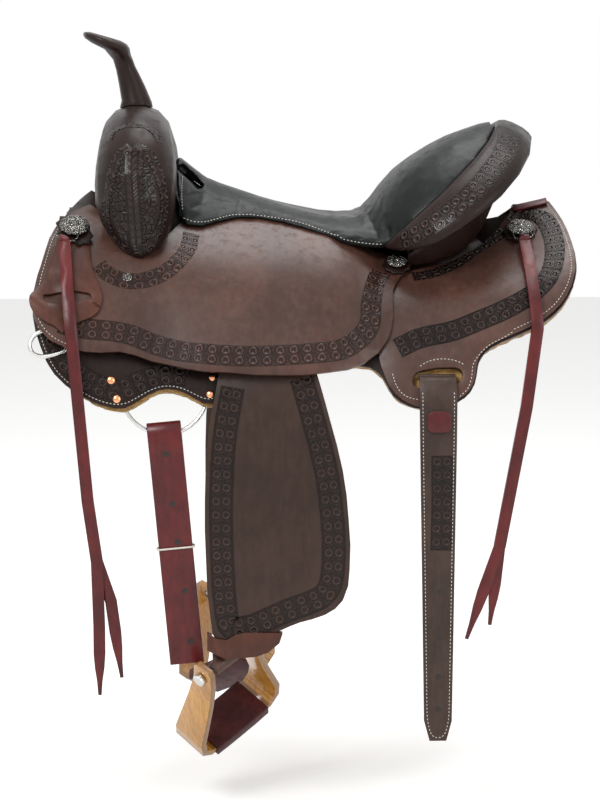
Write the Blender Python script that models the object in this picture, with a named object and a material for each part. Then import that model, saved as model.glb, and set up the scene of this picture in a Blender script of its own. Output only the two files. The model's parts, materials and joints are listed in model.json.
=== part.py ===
"""A trail saddle on its tree, cut and assembled the way a saddler does it. Metres, +Z up, horn towards -X.

Leather panels are flat patterns, drawn in millimetres as (x, s): x runs along the horse, and s is measured down
the side from the ridge. Each is bent over the form of the horse's back, at its height h above the skirts' face.
The near side, -Y, is modelled, and the off side is its mirror image. The origin is under the ridge at mid-seat.
"""

from math import asin, atan2, cos, degrees, hypot, pi, radians, sin, sqrt

import bmesh
import bpy
from mathutils import Matrix, Vector
from mathutils.bvhtree import BVHTree

for old_object in list(bpy.data.objects):
    bpy.data.objects.remove(old_object)

MM = 0.001
FIT_GAP = 0.4        # clearance between pieces that lie on each other
LACE_GAP = 0.6       # clearance round a piece that another is cut to fit

# The form that the leather is bent over: slope of the side in degrees, against distance s down from the ridge
FORM_SLOPE = ((0, 26), (120, 32), (220, 62), (300, 76), (600, 80))
RIDGE_HEIGHT = 20.0          # ridge of the skirts' outer face above the origin
FRONT_RISE_START = -60.0     # ahead of this the withers lift the form
FRONT_RISE = 1.375e-3        # lift per mm squared
REAR_RISE_START = 50.0       # behind this the loin lifts the form
REAR_RISE = 0.50e-3
FRONT_TUCK_START = -100.0    # ahead of this the shoulders narrow the form
FRONT_TUCK = 0.30e-3

# Leather and fleece thicknesses
SKIRT_THICK = 4.5
FLEECE_THICK = 10.0
JOCKEY_THICK = 4.5
HOUSING_THICK = 4.5
STRAP_THICK = 4.0
COVER_THICK = 3.0
SEAT_THICK = 11.0

# How high the seat jockey rides over the skirts
JOCKEY_REST = 13.0           # room under the jockey's skirt along its front
JOCKEY_POCKET = 21.0         # room under its middle, where the stirrup leather swings
JOCKEY_TOP = 41.5            # its height over the bars, beside the seat
JOCKEY_LIFT_FOOT = 225.0     # the extra height starts above this s
JOCKEY_LIFT_HEAD = 90.0      # and is whole at this s

BAR_EDGE_THICK = 6.0
BAR_MID_THICK = 24.0
BEND_STEP = 20               # the form has a flat facet every so far down the side
WARP_STEP = 60               # and along it

# The stirrup leather and fender hang steeper than the form, from over the bar
HANG_SLOPE = ((0, 26), (120, 32), (220, 62), (280, 82), (340, 87), (900, 87))

MODEL = bpy.data.collections.new("trail_saddle")
CUTTERS = bpy.data.collections.new("cutters")
for collection in (MODEL, CUTTERS):
    bpy.context.scene.collection.children.link(collection)


# Materials

def material(name, colour, roughness, metallic=0.0):
    made = bpy.data.materials.new(name)
    made.use_nodes = True
    shader = made.node_tree.nodes["Principled BSDF"]
    shader.inputs["Base Color"].default_value = (*colour, 1.0)
    shader.inputs["Roughness"].default_value = roughness
    shader.inputs["Metallic"].default_value = metallic
    return made


BROWN = material("brown_leather", (0.085, 0.045, 0.032), 0.45)
DARK_BROWN = material("dark_carved_leather", (0.035, 0.020, 0.016), 0.40)
BLACK = material("black_seat_leather", (0.018, 0.019, 0.018), 0.38)
RED = material("oxblood_latigo", (0.17, 0.018, 0.018), 0.40)
RUSSET = material("russet_leather", (0.15, 0.048, 0.022), 0.45)
FLEECE = material("golden_fleece", (0.62, 0.38, 0.12), 0.95)
OAK = material("varnished_oak", (0.55, 0.27, 0.06), 0.30)
RAW_WOOD = material("tree_wood", (0.50, 0.36, 0.22), 0.70)
STEEL = material("stainless_steel", (0.60, 0.60, 0.58), 0.25, 1.0)
SILVER = material("engraved_silver", (0.66, 0.65, 0.62), 0.28, 1.0)
COPPER = material("copper_rivet", (0.80, 0.38, 0.20), 0.28, 1.0)
CORD = material("white_cord", (0.80, 0.76, 0.68), 0.80)


# The form, and what is bent over it

def clamp(value, low=0.0, high=1.0):
    return max(low, min(high, value))


def ease(value):
    """0 below 0, 1 above 1, and smooth between."""
    t = clamp(value)
    return t * t * (3 - 2 * t)


def slope_at(s, knots):
    """Slope in radians at s mm down a profile given as (s, degrees) knots."""
    for (s0, a0), (s1, a1) in zip(knots, knots[1:]):
        if s <= s1:
            return radians(a0 + (a1 - a0) * (max(s, 0.0) - s0) / (s1 - s0))
    return radians(knots[-1][1])


def profile(knots):
    """Points (y, z) of a profile for each whole mm of s, from the ridge outwards and down."""
    y, z = 0.0, 0.0
    points = [(y, z)]
    for s in range(int(knots[-1][0])):
        slope = slope_at(s + 0.5, knots)
        y += cos(slope)
        z -= sin(slope)
        points.append((y, z))
    return points


def along(points, s):
    """The (y, z) point at s mm down a profile."""
    at = clamp(s, 0.0, len(points) - 1.001)
    index = int(at)
    share = at - index
    (y0, z0), (y1, z1) = points[index], points[index + 1]
    return y0 + (y1 - y0) * share, z0 + (z1 - z0) * share


FORM_POINTS = profile(FORM_SLOPE)
HANG_POINTS = profile(HANG_SLOPE)


def form_corner(x, s, h):
    """A corner of one of the form's facets, raised by h, in mm."""
    y, z = along(FORM_POINTS, s)
    slope = slope_at(s, FORM_SLOPE)
    tuck = FRONT_TUCK * max(FRONT_TUCK_START - x, 0.0) ** 2
    rise = FRONT_RISE * max(FRONT_RISE_START - x, 0.0) ** 2 + REAR_RISE * max(x - REAR_RISE_START, 0.0) ** 2
    return Vector((x, -(y + h * sin(slope) - tuck), RIDGE_HEIGHT + z + h * cos(slope) + rise))


def on_form(x, s, h):
    """World place of pattern point (x, s) at height h over the faceted form, on the near side."""
    x0 = x // WARP_STEP * WARP_STEP
    s0 = max(s, 0.0) // BEND_STEP * BEND_STEP
    across, down = (x - x0) / WARP_STEP, (s - s0) / BEND_STEP
    front = form_corner(x0, s0, h).lerp(form_corner(x0, s0 + BEND_STEP, h), down)
    rear = form_corner(x0 + WARP_STEP, s0, h).lerp(form_corner(x0 + WARP_STEP, s0 + BEND_STEP, h), down)
    return front.lerp(rear, across) * MM


def on_hang(x, s, h):
    """World place of pattern point (x, s) at height h over the line in which the fender hangs."""
    s0 = max(s, 0.0) // BEND_STEP * BEND_STEP
    ends = []
    for edge in (s0, s0 + BEND_STEP):
        y, z = along(HANG_POINTS, edge)
        slope = slope_at(edge, HANG_SLOPE)
        ends.append(Vector((x, -(y + h * sin(slope)), RIDGE_HEIGHT + z + h * cos(slope))))
    return ends[0].lerp(ends[1], (s - s0) / BEND_STEP) * MM


def on_grid(height, x, s):
    """A height read off a grid of 30 by 20 mm, so that layers with the same bends keep their gaps."""
    x0, s0 = x // 30 * 30, max(s, 0.0) // 20 * 20
    across, down = (x - x0) / 30, (max(s, 0.0) - s0) / 20
    front = height(x0, s0) * (1 - down) + height(x0, s0 + 20) * down
    rear = height(x0 + 30, s0) * (1 - down) + height(x0 + 30, s0 + 20) * down
    return front * (1 - across) + rear * across


def smooth_housing_height(x, s):
    """Height of the rear housing's underside: on the skirt, and up over the end of the bar."""
    over_bar = ease((215 - s) / 30) * ease((268 - x) / 30)
    return FIT_GAP + (BAR_EDGE_THICK + FIT_GAP) * over_bar


def smooth_jockey_height(x, s):
    """Height of the seat jockey's underside over the form: loose over the leathers, sewn down at the front."""
    pocket = JOCKEY_REST + (JOCKEY_POCKET - JOCKEY_REST) * ease((x + 168) / 40) * ease((72 - x) / 34)
    foot, head = JOCKEY_LIFT_FOOT, JOCKEY_LIFT_HEAD
    height = pocket + (JOCKEY_TOP - pocket) * ease((x + 270) / 80) * ease((foot - s) / (foot - head))
    on_housing = smooth_housing_height(x, s) + HOUSING_THICK + FIT_GAP
    height += (on_housing - height) * ease((x - 45) / 40)
    sewn_front = ease((-262 - x) / 40) * ease((255 - s) / 25)
    return height + (FIT_GAP - height) * sewn_front


def smooth_bar_height(x, s):
    """Height of a tree bar's outer face: thick along the middle, thin at its rim."""
    across = ease((s - 40) / 50) * ease((175 - s) / 70)
    ends = ease((x + 255) / 55) * ease((85 - x) / 50)
    return FIT_GAP + BAR_EDGE_THICK + (BAR_MID_THICK - BAR_EDGE_THICK) * across * ends


def housing_height(x, s):
    return on_grid(smooth_housing_height, x, s)


def jockey_height(x, s):
    return on_grid(smooth_jockey_height, x, s)


def bar_height(x, s):
    return on_grid(smooth_bar_height, x, s)


def jockey_face(x, s):
    """Height of the seat jockey's outer face."""
    return jockey_height(x, s) + JOCKEY_THICK


# Building meshes

def finish_object(name, mesh, look, smooth=True, collection=MODEL):
    """Links a finished mesh as one named object."""
    if smooth:
        mesh.shade_smooth()
        mesh.set_sharp_from_angle(angle=radians(35))
    made = bpy.data.objects.new(name, mesh)
    collection.objects.link(made)
    made.data.materials.clear()
    made.data.materials.append(look)
    return made


def mirrored(name, source, collection=MODEL):
    """The off-side twin of a near-side object: its mesh reflected in the saddle's middle plane."""
    mesh = source.data.copy()
    mesh.transform(source.matrix_world)
    mesh.transform(Matrix.Scale(-1, 4, (0, 1, 0)))
    mesh.flip_normals()
    made = bpy.data.objects.new(name, mesh)
    collection.objects.link(made)
    return made


def curve_to_mesh(curve, merge=2e-3):
    """Turns curve data into a welded mesh and removes the curve."""
    temporary = bpy.data.objects.new("temporary", curve)
    bpy.context.scene.collection.objects.link(temporary)
    graph = bpy.context.evaluated_depsgraph_get()
    mesh = bpy.data.meshes.new_from_object(temporary.evaluated_get(graph))
    bpy.data.objects.remove(temporary)
    work = bmesh.new()
    work.from_mesh(mesh)
    bmesh.ops.remove_doubles(work, verts=work.verts, dist=merge)
    work.to_mesh(mesh)
    work.free()
    return mesh


def outline_spline(curve, points, steps):
    """Adds a closed outline: (u, v) points joined smoothly, and (u, v, 'corner') points left sharp."""
    spline = curve.splines.new("BEZIER")
    spline.bezier_points.add(len(points) - 1)
    spline.use_cyclic_u = True
    spline.resolution_u = steps
    for knot, point in zip(spline.bezier_points, points):
        knot.co = (point[0], point[1], 0.0)
        kind = "VECTOR" if len(point) > 2 else "AUTO"
        knot.handle_left_type = kind
        knot.handle_right_type = kind


def flat_pattern(outlines, steps=4):
    """A flat closed slab in mm, from h = 0 to h = 1, cut to the outlines. Inner outlines are holes."""
    curve = bpy.data.curves.new("pattern", "CURVE")
    curve.dimensions = "2D"
    curve.fill_mode = "BOTH"
    curve.extrude = 0.5
    curve.resolution_u = steps
    curve.render_resolution_u = steps
    for outline in outlines:
        outline_spline(curve, outline, steps)
    mesh = curve_to_mesh(curve)
    work = bmesh.new()
    work.from_mesh(mesh)
    bmesh.ops.translate(work, vec=(0, 0, 0.5), verts=work.verts)
    bmesh.ops.dissolve_limit(work, angle_limit=radians(0.5), verts=work.verts, edges=work.edges)
    return work


def cut_lines(work, axis, step):
    """Cuts a flat slab at every whole step along axis 0 or 1, so that it can bend there."""
    places = [v.co[axis] for v in work.verts]
    first = int(min(places) // step) + 1
    last = int(-(-max(places) // step))
    normal = Vector((1, 0, 0)) if axis == 0 else Vector((0, 1, 0))
    for index in range(first, last):
        geometry = work.verts[:] + work.edges[:] + work.faces[:]
        bmesh.ops.bisect_plane(work, geom=geometry, dist=1e-4, plane_co=normal * (index * step), plane_no=normal)


def bent_panel(name, outlines, low, high, look, place=on_form, steps=2, warp_step=WARP_STEP, collection=MODEL,
               spread=0.0):
    """A panel cut to flat outlines, spread outwards by spread, and bent: low and high give its two faces' heights
    at (x, s)."""
    work = flat_pattern(outlines, steps)
    if spread:
        work.normal_update()
        moves = [(vertex, Vector((vertex.normal.x, vertex.normal.y, 0.0)).normalized() * spread)
                 for vertex in work.verts]
        for vertex, move in moves:
            vertex.co += move
    cut_lines(work, 1, BEND_STEP)
    if warp_step:
        cut_lines(work, 0, warp_step)
    for vertex in work.verts:
        x, s, u = vertex.co
        bottom = low(x, s) if callable(low) else low
        top = high(x, s) if callable(high) else high
        vertex.co = place(x, s, bottom + (top - bottom) * u)
    work.normal_update()
    bmesh.ops.recalc_face_normals(work, faces=work.faces)
    bmesh.ops.triangulate(work, faces=work.faces)
    mesh = bpy.data.meshes.new(name)
    work.to_mesh(mesh)
    work.free()
    return finish_object(name, mesh, look, collection=collection)


def loft(name, rings, look, collection=MODEL):
    """A closed solid through rings of points in mm, each ring with as many points as the next."""
    work = bmesh.new()
    rows = [[work.verts.new(Vector(point) * MM) for point in ring] for ring in rings]
    for row, following in zip(rows, rows[1:]):
        count = len(row)
        for i in range(count):
            j = (i + 1) % count
            work.faces.new((row[i], row[j], following[j], following[i]))
    work.faces.new(rows[0][::-1])
    work.faces.new(rows[-1])
    work.normal_update()
    bmesh.ops.recalc_face_normals(work, faces=work.faces)
    bmesh.ops.triangulate(work, faces=work.faces)
    mesh = bpy.data.meshes.new(name)
    work.to_mesh(mesh)
    work.free()
    return finish_object(name, mesh, look, collection=collection)


def cut(target, cutter, operation="DIFFERENCE"):
    """Cuts one object with another for good."""
    modifier = target.modifiers.new("cut", "BOOLEAN")
    modifier.operation = operation
    modifier.solver = "EXACT"
    modifier.object = cutter
    graph = bpy.context.evaluated_depsgraph_get()
    mesh = bpy.data.meshes.new_from_object(target.evaluated_get(graph))
    target.modifiers.remove(modifier)
    work = bmesh.new()
    work.from_mesh(mesh)
    bmesh.ops.remove_doubles(work, verts=work.verts, dist=2e-5)
    bmesh.ops.dissolve_degenerate(work, dist=2e-5, edges=work.edges)
    bmesh.ops.dissolve_limit(work, angle_limit=radians(1.0), verts=work.verts, edges=work.edges)
    bmesh.ops.triangulate(work, faces=work.faces)
    work.to_mesh(mesh)
    work.free()
    mesh.materials.clear()
    mesh.materials.append(target.data.materials[0])
    target.data = mesh


def grown(source, by=0.4):
    """A cutter: an object's own shape, grown by a margin in mm."""
    work = bmesh.new()
    work.from_mesh(source.data)
    work.normal_update()
    moves = [(vertex, vertex.normal * by * MM * min(vertex.calc_shell_factor(), 2.0)) for vertex in work.verts]
    for vertex, move in moves:
        vertex.co += move
    mesh = bpy.data.meshes.new(source.name + "_grown")
    work.to_mesh(mesh)
    work.free()
    made = bpy.data.objects.new(source.name + "_grown", mesh)
    made.data.materials.append(source.data.materials[0])
    CUTTERS.objects.link(made)
    return as_cutter(made)


def as_cutter(made):
    """Marks an object as a cutter, which isn't part of the saddle."""
    made.hide_render = True
    made.display_type = "WIRE"
    return made


# Patterns of the leather, in mm: (x, s), with 'c' for a sharp corner

REAR_LOBE = (
    (91, 253), (103, 276), (121, 289), (136, 294), (167, 293), (188, 286), (199, 272), (203, 253), (207, 242),
    (220, 231), (245, 223), (273, 216), (296, 205), (313, 187), (324, 162), (327, 143), (326, 98), (321, 54),
)
SKIRT_OUTLINE = (
    (-257, 8, "c"), (-274, 60), (-293, 125), (-309, 196), (-318, 240), (-319, 274), (-310, 303), (-294, 324),
    (-266, 331), (-235, 328), (-212, 321), (-182, 291), (-162, 280), (-140, 280), (-118, 287), (-103, 283),
    (-78, 264), (-40, 248), (0, 241), (45, 238), (76, 240), *REAR_LOBE, (309, 6, "c"),
)
FLEECE_OUTLINE = (
    (-255, 8, "c"), (-272, 60), (-291, 125), (-307, 196), (-316, 240), (-317, 274), (-309, 302), (-293, 324),
    (-266, 332), (-235, 331), (-211, 325), (-181, 295), (-162, 284), (-140, 284), (-117, 291), (-101, 286),
    (-78, 264), (-40, 248), (0, 241), (45, 238), (76, 240), *REAR_LOBE, (308, 6, "c"),
)
HOUSING_OUTLINE = (
    (262, 4, "c"), (308, 4, "c"), (319, 54), (324, 98), (325, 143), (322, 162), (311, 186), (294, 203), (271, 214),
    (243, 221), (218, 229), (205, 240), (201, 253), (197, 271), (186, 284), (167, 291), (136, 292), (122, 287),
    (105, 274), (93, 252), (87, 232), (87, 150), (96, 122, "c"), (130, 112), (170, 104), (205, 88), (232, 62),
    (250, 30),
)
JOCKEY_OUTLINE = (
    (-256, 74, "c"), (-290, 123), (-308, 194), (-316, 241), (-317, 277), (-298, 289), (-257, 279), (-217, 260),
    (-182, 256), (-141, 256), (-89, 254), (-31, 255), (28, 252), (69, 239), (97, 211), (104, 185), (106, 148),
    (116, 126), (126, 108, "c"), (96, 78), (44, 78), (-3, 56), (-33, 44), (-63, 34), (-105, 52), (-140, 62, "c"),
    (-152, 86), (-168, 112), (-197, 124), (-224, 114), (-238, 94), (-246, 80, "c"),
)
KEEPER_OUTLINE = (
    (-272, 124), (-260, 131), (-253, 152), (-252, 168), (-247, 184), (-238, 203), (-239, 217), (-247, 233),
    (-263, 249), (-277, 263), (-283, 274, "c"), (-293, 271), (-306, 273), (-318, 271), (-322, 260), (-317, 246),
    (-306, 224), (-299, 198), (-294, 173), (-290, 150), (-284, 131),
)
KEEPER_SLOT = (
    (-306, 244), (-303, 239), (-254, 211), (-250, 213), (-252, 217), (-302, 248),
)
FENDER_OUTLINE = (
    (-77, 166), (-77, 190), (-84, 212), (-99, 240), (-106, 270), (-114, 312), (-119, 394), (-118, 465), (-112, 542),
    (-106, 561), (-52, 561), (-34, 551), (-8, 540), (22, 531), (43, 514), (51, 478), (50, 419), (43, 360), (28, 301),
    (17, 262), (8, 236), (-6, 212), (-13, 190), (-13, 166), (-22, 161), (-68, 161),
)


def circle_outline(x, s, radius, count=12):
    return [(x + radius * cos(2 * pi * k / count), s + radius * sin(2 * pi * k / count)) for k in range(count)]


def scalloped_outline(x, s, radius, scallops, depth=0.07):
    points = []
    for k in range(scallops * 2):
        reach = radius * (1 + depth if k % 2 == 0 else 1 - depth)
        points.append((x + reach * cos(pi * k / scallops), s + reach * sin(pi * k / scallops)))
    return points


def surface_frame(face, x, s, reach, gap=FIT_GAP, place=on_form):
    """A frame resting on the face around (x, s): Z outwards, X along the horse, its origin clear of the face."""
    samples = [place(x + reach * cos(a * pi / 6), s + reach * sin(a * pi / 6),
                     face(x + reach * cos(a * pi / 6), s + reach * sin(a * pi / 6))) for a in range(12)]
    centre = place(x, s, face(x, s))
    along_x = place(x + reach, s, face(x + reach, s)) - place(x - reach, s, face(x - reach, s))
    down = place(x, s + reach, face(x, s + reach)) - place(x, s - reach, face(x, s - reach))
    normal = along_x.cross(down).normalized()
    if normal.y > 0:
        normal = -normal
    lift = max((point - centre).dot(normal) for point in [*samples, centre]) + gap * MM
    axis_x = (along_x - normal * along_x.dot(normal)).normalized()
    axis_y = normal.cross(axis_x)
    frame = Matrix((axis_x, axis_y, normal)).transposed().to_4x4()
    frame.translation = centre + normal * lift
    return frame


def turned(rings, frame, count, scallops=0, depth=0.0):
    """Rings of points for a lathe-turned piece: (radius, height) pairs in mm on a frame in metres."""
    made = []
    for radius, height in rings:
        ring = []
        for k in range(count):
            angle = 2 * pi * k / count
            reach = radius * (1 + depth * cos(scallops * angle)) if scallops else radius
            ring.append(frame @ Vector((reach * cos(angle) * MM, reach * sin(angle) * MM, height * MM)) / MM)
        made.append(ring)
    return made


# Fleece, skirts, bars, housings and jockeys: the near side

fleece = bent_panel("fleece_near", [FLEECE_OUTLINE], -SKIRT_THICK - FIT_GAP - FLEECE_THICK, -SKIRT_THICK - FIT_GAP,
                    FLEECE)
BILLET_SLOT = ((125, 260), (129, 252), (139, 249), (171, 249), (181, 252), (185, 260), (180, 269), (130, 269))
skirt = bent_panel("skirt_near", [SKIRT_OUTLINE, BILLET_SLOT], -SKIRT_THICK, 0.0, DARK_BROWN)

BAR_OUTLINE = (
    (-250, 100), (-236, 52), (-190, 38), (0, 36), (170, 36), (214, 56), (226, 100), (212, 148), (170, 168),
    (0, 172), (-190, 172), (-236, 150),
)
BAR_WARP = 30
bar = bent_panel("tree_bar_near", [BAR_OUTLINE], FIT_GAP, bar_height, RAW_WOOD, warp_step=BAR_WARP)
bar_cutter = as_cutter(bent_panel(
    "bar_cutter", [BAR_OUTLINE], -3.0, lambda x, s: bar_height(x, s) + FIT_GAP, RAW_WOOD,
    warp_step=BAR_WARP, collection=CUTTERS, spread=0.5))

BILLET_X = 155.0
housing = bent_panel("rear_housing_near", [HOUSING_OUTLINE, BILLET_SLOT], housing_height,
                     lambda x, s: housing_height(x, s) + HOUSING_THICK, BROWN, warp_step=30)
jockey = bent_panel("seat_jockey_near", [JOCKEY_OUTLINE], jockey_height, jockey_face, BROWN, warp_step=30)
jockey_cutter = as_cutter(bent_panel(
    "jockey_cutter", [JOCKEY_OUTLINE], lambda x, s: jockey_height(x, s) - 20,
    lambda x, s: jockey_face(x, s) + FIT_GAP, BROWN, warp_step=30, collection=CUTTERS, spread=0.5))


# The fork under its swell cover, and the horn

def arch_rings(stations, count=14, power=2.0):
    """Rings across an arch from its near foot to its off foot. A near station is x, half-width, outer and inner
    edge in (y, z); the last station is on the middle plane."""
    near = []
    for x, half, (oy, oz), (iy, iz) in stations:
        ring = []
        for k in range(count):
            angle = 2 * pi * k / count
            c, s = cos(angle), sin(angle)
            c = abs(c) ** (2 / power) * (1 if c >= 0 else -1)
            s = abs(s) ** (2 / power) * (1 if s >= 0 else -1)
            share = (1 - s) / 2
            ring.append((x + half * c, oy + (iy - oy) * share, oz + (iz - oz) * share))
        near.append(ring)
    off = [[(x, -y, z) for x, y, z in ring] for ring in near[-2::-1]]
    return near + off


COVER_STATIONS = (
    (-195, 7, (-147, -1), (-138, 2)), (-194, 24, (-153, 7), (-120, 14)), (-196, 35, (-158, 21), (-100, 26)),
    (-198, 42, (-161, 40), (-88, 38)), (-200, 47, (-163, 68), (-78, 54)), (-199.5, 48.5, (-160, 98), (-67, 70)),
    (-199, 48, (-148, 126), (-54, 82)), (-199, 46, (-122, 150), (-39, 92)), (-200, 44, (-85, 165), (-25, 98)),
    (-200, 42.5, (-42, 173), (-12, 101)), (-200, 42, (0, 176), (0, 102)),
)
FORK_STATIONS = (
    (-198, 29, (-118, -6), (-76, 14)), (-198, 33, (-132, 16), (-80, 24)), (-198, 37.5, (-155, 41), (-85, 39)),
    (-200, 43.4, (-159.4, 68), (-81.6, 55)), (-199.5, 45, (-156.6, 97), (-70.4, 71.4)),
    (-199, 44.5, (-145.3, 123.6), (-56.7, 84.4)), (-199, 42.5, (-120, 147), (-41, 95)),
    (-200, 40.5, (-84, 161.7), (-26, 101.2)), (-200, 39, (-41.6, 169.6), (-12.4, 104.4)),
    (-200, 38.5, (0, 172.5), (0, 105.5)),
)
fork = loft("tree_fork", arch_rings(FORK_STATIONS), RAW_WOOD)
cut(fork, bar_cutter)
bar_cutter_off = as_cutter(mirrored("bar_cutter_off", bar_cutter, CUTTERS))
cut(fork, bar_cutter_off)

# The cover fits the fork all round, so its hollow is the fork made larger by the gap
HOLLOW = tuple((x, half + FIT_GAP, (oy - FIT_GAP, oz + FIT_GAP), (iy + FIT_GAP, iz - FIT_GAP))
               for x, half, (oy, oz), (iy, iz) in FORK_STATIONS)
hollow = as_cutter(loft("fork_hollow", arch_rings(HOLLOW), RAW_WOOD, collection=CUTTERS))
swell = loft("swell_cover", arch_rings(COVER_STATIONS), DARK_BROWN)
cut(swell, hollow)
jockey_cutter_off = as_cutter(mirrored("jockey_cutter_off", jockey_cutter, CUTTERS))
cut(swell, jockey_cutter)
cut(swell, jockey_cutter_off)


def horn_rings(stations, grow=0.0, count=12):
    """Rings up the horn: x and z of the middle, half-length, half-width, and the ring's tilt in degrees."""
    rings = []
    for x, z, length, width, tilt in stations:
        c, s = cos(radians(tilt)), sin(radians(tilt))
        ring = []
        for k in range(count):
            angle = 2 * pi * k / count
            u, v = (length + grow) * cos(angle), (width + grow) * sin(angle)
            ring.append((x + u * c, v, z + u * s))
        rings.append(ring)
    return rings


HORN_STATIONS = (
    (-201, 168, 21, 21, 0), (-200.5, 179, 18.5, 18, -2), (-206, 199, 16.5, 15.5, -8), (-210.8, 214, 14.8, 13.5, -12),
    (-215.5, 226, 14, 13.5, -16), (-222, 236, 18.5, 18.5, -20), (-231, 242.5, 25.5, 26, -18),
    (-235.5, 247.5, 29, 30, -17), (-237, 252, 29.5, 31, -16), (-238, 256, 27, 28.5, -16), (-238, 258, 20, 21, -16),
)
HORN_CORE = (
    (-201, 160, 17, 17, 0), (-200.5, 176, 14.5, 14, -2), (-206, 199, 12, 11.5, -8), (-210.8, 214, 10.5, 9.5, -12),
    (-215.5, 226, 10, 9.5, -16), (-222, 235.5, 13, 13, -20), (-229, 241, 18, 18, -18), (-232.5, 245.5, 20, 21, -17),
    (-234, 249, 20, 21, -16),
)
horn = loft("horn_wrap", horn_rings(HORN_STATIONS), DARK_BROWN)
core = loft("horn_core", horn_rings(HORN_CORE, count=12), STEEL)
core_cutter = as_cutter(loft("core_cutter", [[(x, y, z - 0.4) for x, y, z in ring] if i == 0 else
                                             [(x, y, z + (0.4 if i == 8 else 0)) for x, y, z in ring]
                                             for i, ring in enumerate(horn_rings(HORN_CORE, 0.45, 12))],
                             STEEL, collection=CUTTERS))
cut(horn, core_cutter)
cut(fork, core_cutter)
cut(swell, core_cutter)
horn_cutter = as_cutter(loft("horn_cutter", horn_rings(HORN_STATIONS[:3], 0.4), DARK_BROWN, collection=CUTTERS))
swell_cutter = as_cutter(loft("swell_cutter", arch_rings(tuple(
    (x, half + FIT_GAP, (oy - FIT_GAP, oz + FIT_GAP), (iy, iz)) for x, half, (oy, oz), (iy, iz) in COVER_STATIONS)),
    DARK_BROWN, collection=CUTTERS))
cut(horn, swell_cutter)


# The seat, and the ground seat that it is drawn down on

# Across the seat at each row: its edge (x, y, z), its middle (x, z), how far the edge's slope and the middle's
# level reach towards each other, and how deep the seat is dished in the middle
SEAT_ROWS = (
    ((-149.5, -88, 45), (-148, 112), 40, 34, 0, 76),
    ((-140, -97, 35), (-137, 102), 38, 34, 0, 62),
    ((-122, -94, 33), (-117, 87), 34, 34, 0, 48),
    ((-100, -81, 38), (-96, 78), 28, 34, 0, 40),
    ((-76, -69, 42), (-74, 70), 24, 32, 0, 36),
    ((-52, -68, 42.5), (-50, 62), 24, 32, 1, 34),
    ((-26, -76, 38), (-25, 55), 28, 32, 2, 32),
    ((0, -87, 31), (0, 50), 32, 36, 4, 32),
    ((26, -99, 24), (24, 46), 36, 38, 6, 32),
    ((50, -108, 19), (44, 46), 38, 42, 8, 34),
    ((72, -110, 16), (60, 50), 38, 44, 11, 38),
    ((90, -112, 13), (72, 60), 36, 46, 15, 44),
    ((104, -115, 15), (85, 77), 36, 50, 19, 52),
    ((114, -119.5, 24), (97, 96), 38, 52, 22, 56),
    ((129, -127, 38), (115, 117), 40, 54, 23, 58),
    ((146, -128.5, 53), (135, 131), 40, 52, 22, 56),
    ((167, -123, 72), (158, 142), 36, 46, 18, 50),
    ((188, -110, 92), (180, 149), 30, 40, 13, 44),
    ((208, -90, 111), (201, 152), 24, 32, 8, 36),
    ((226, -62, 131), (221, 154), 14, 22, 3, 26),
    ((237, -32, 147), (235, 155), 8, 12, 1, 14),
)
SEAT_ACROSS = 6              # facets from the edge to the middle


def seat_ring(row, reach=1.0):
    """Top points of one row of the seat, from its near edge to its off edge, or the inner share of it."""
    (ex, ey, ez), (cx, cz), edge_pull, middle_pull, dish, steep = row
    side = Vector((ex, ey, ez))
    middle = Vector((cx, 0, cz))
    first = side + Vector(((cx - ex) * 0.15, cos(radians(steep)), sin(radians(steep)))) * 1.0 * edge_pull
    first.x = ex + (cx - ex) * 0.3
    second = middle + Vector(((ex - cx) * 0.3, -middle_pull, 0))
    near = []
    for k in range(SEAT_ACROSS + 1):
        t = 1 - (1 - k / SEAT_ACROSS) * reach
        point = side * (1 - t) ** 3 + first * 3 * t * (1 - t) ** 2 + second * 3 * t * t * (1 - t) + middle * t**3
        near.append(point - Vector((0, 0, dish * ease((t - 0.35) / 0.65))))
    return near + [Vector((p.x, -p.y, p.z)) for p in near[-2::-1]]


def grid_normals(rows):
    """Outward normals of a grid of points, pointing up and forward."""
    normals = []
    for i, row in enumerate(rows):
        line = []
        for j in range(len(row)):
            a = rows[min(i + 1, len(rows) - 1)][j] - rows[max(i - 1, 0)][j]
            b = row[min(j + 1, len(row) - 1)] - row[max(j - 1, 0)]
            normal = a.cross(b)
            line.append(-normal.normalized() if normal.z < 0 else normal.normalized())
        normals.append(line)
    return normals


def sheet_rings(rows, top, bottom):
    """Closed rings round a sheet that lies on a grid of points: both faces moved along the grid's normals."""
    rings = []
    for row, normals in zip(rows, grid_normals(rows)):
        upper = [p + n * top for p, n in zip(row, normals)]
        lower = [p + n * bottom for p, n in zip(row, normals)]
        rings.append(upper + lower[::-1])
    return rings


def ground_rings(rows):
    """The ground seat: a plate under the seat leather, with a thick rail down each side to stand on the bars."""
    rings = []
    for i, (row, normals) in enumerate(zip(rows, grid_normals(rows))):
        rail = 38 * ease((8.5 - i) / 3)
        last = len(row) - 1
        upper = [p - n * (SEAT_THICK + 1.8) for p, n in zip(row, normals)]
        lower = []
        for j, (p, n) in enumerate(zip(row, normals)):
            near_edge = ease(2.5 - min(j, last - j))
            lower.append(p - n * (SEAT_THICK + 8) - Vector((0, 0, rail * near_edge)))
        rings.append(upper + lower[::-1])
    return rings


seat_rows = [seat_ring(row) for row in SEAT_ROWS]
seat = loft("seat", sheet_rings(seat_rows, 0.0, -SEAT_THICK), BLACK)
ground = loft("ground_seat", ground_rings([seat_ring(row, 0.74) for row in SEAT_ROWS[1:-2]]), RUSSET)


# The cantle: its board, the leather behind it, and the roll round its rim

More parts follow.
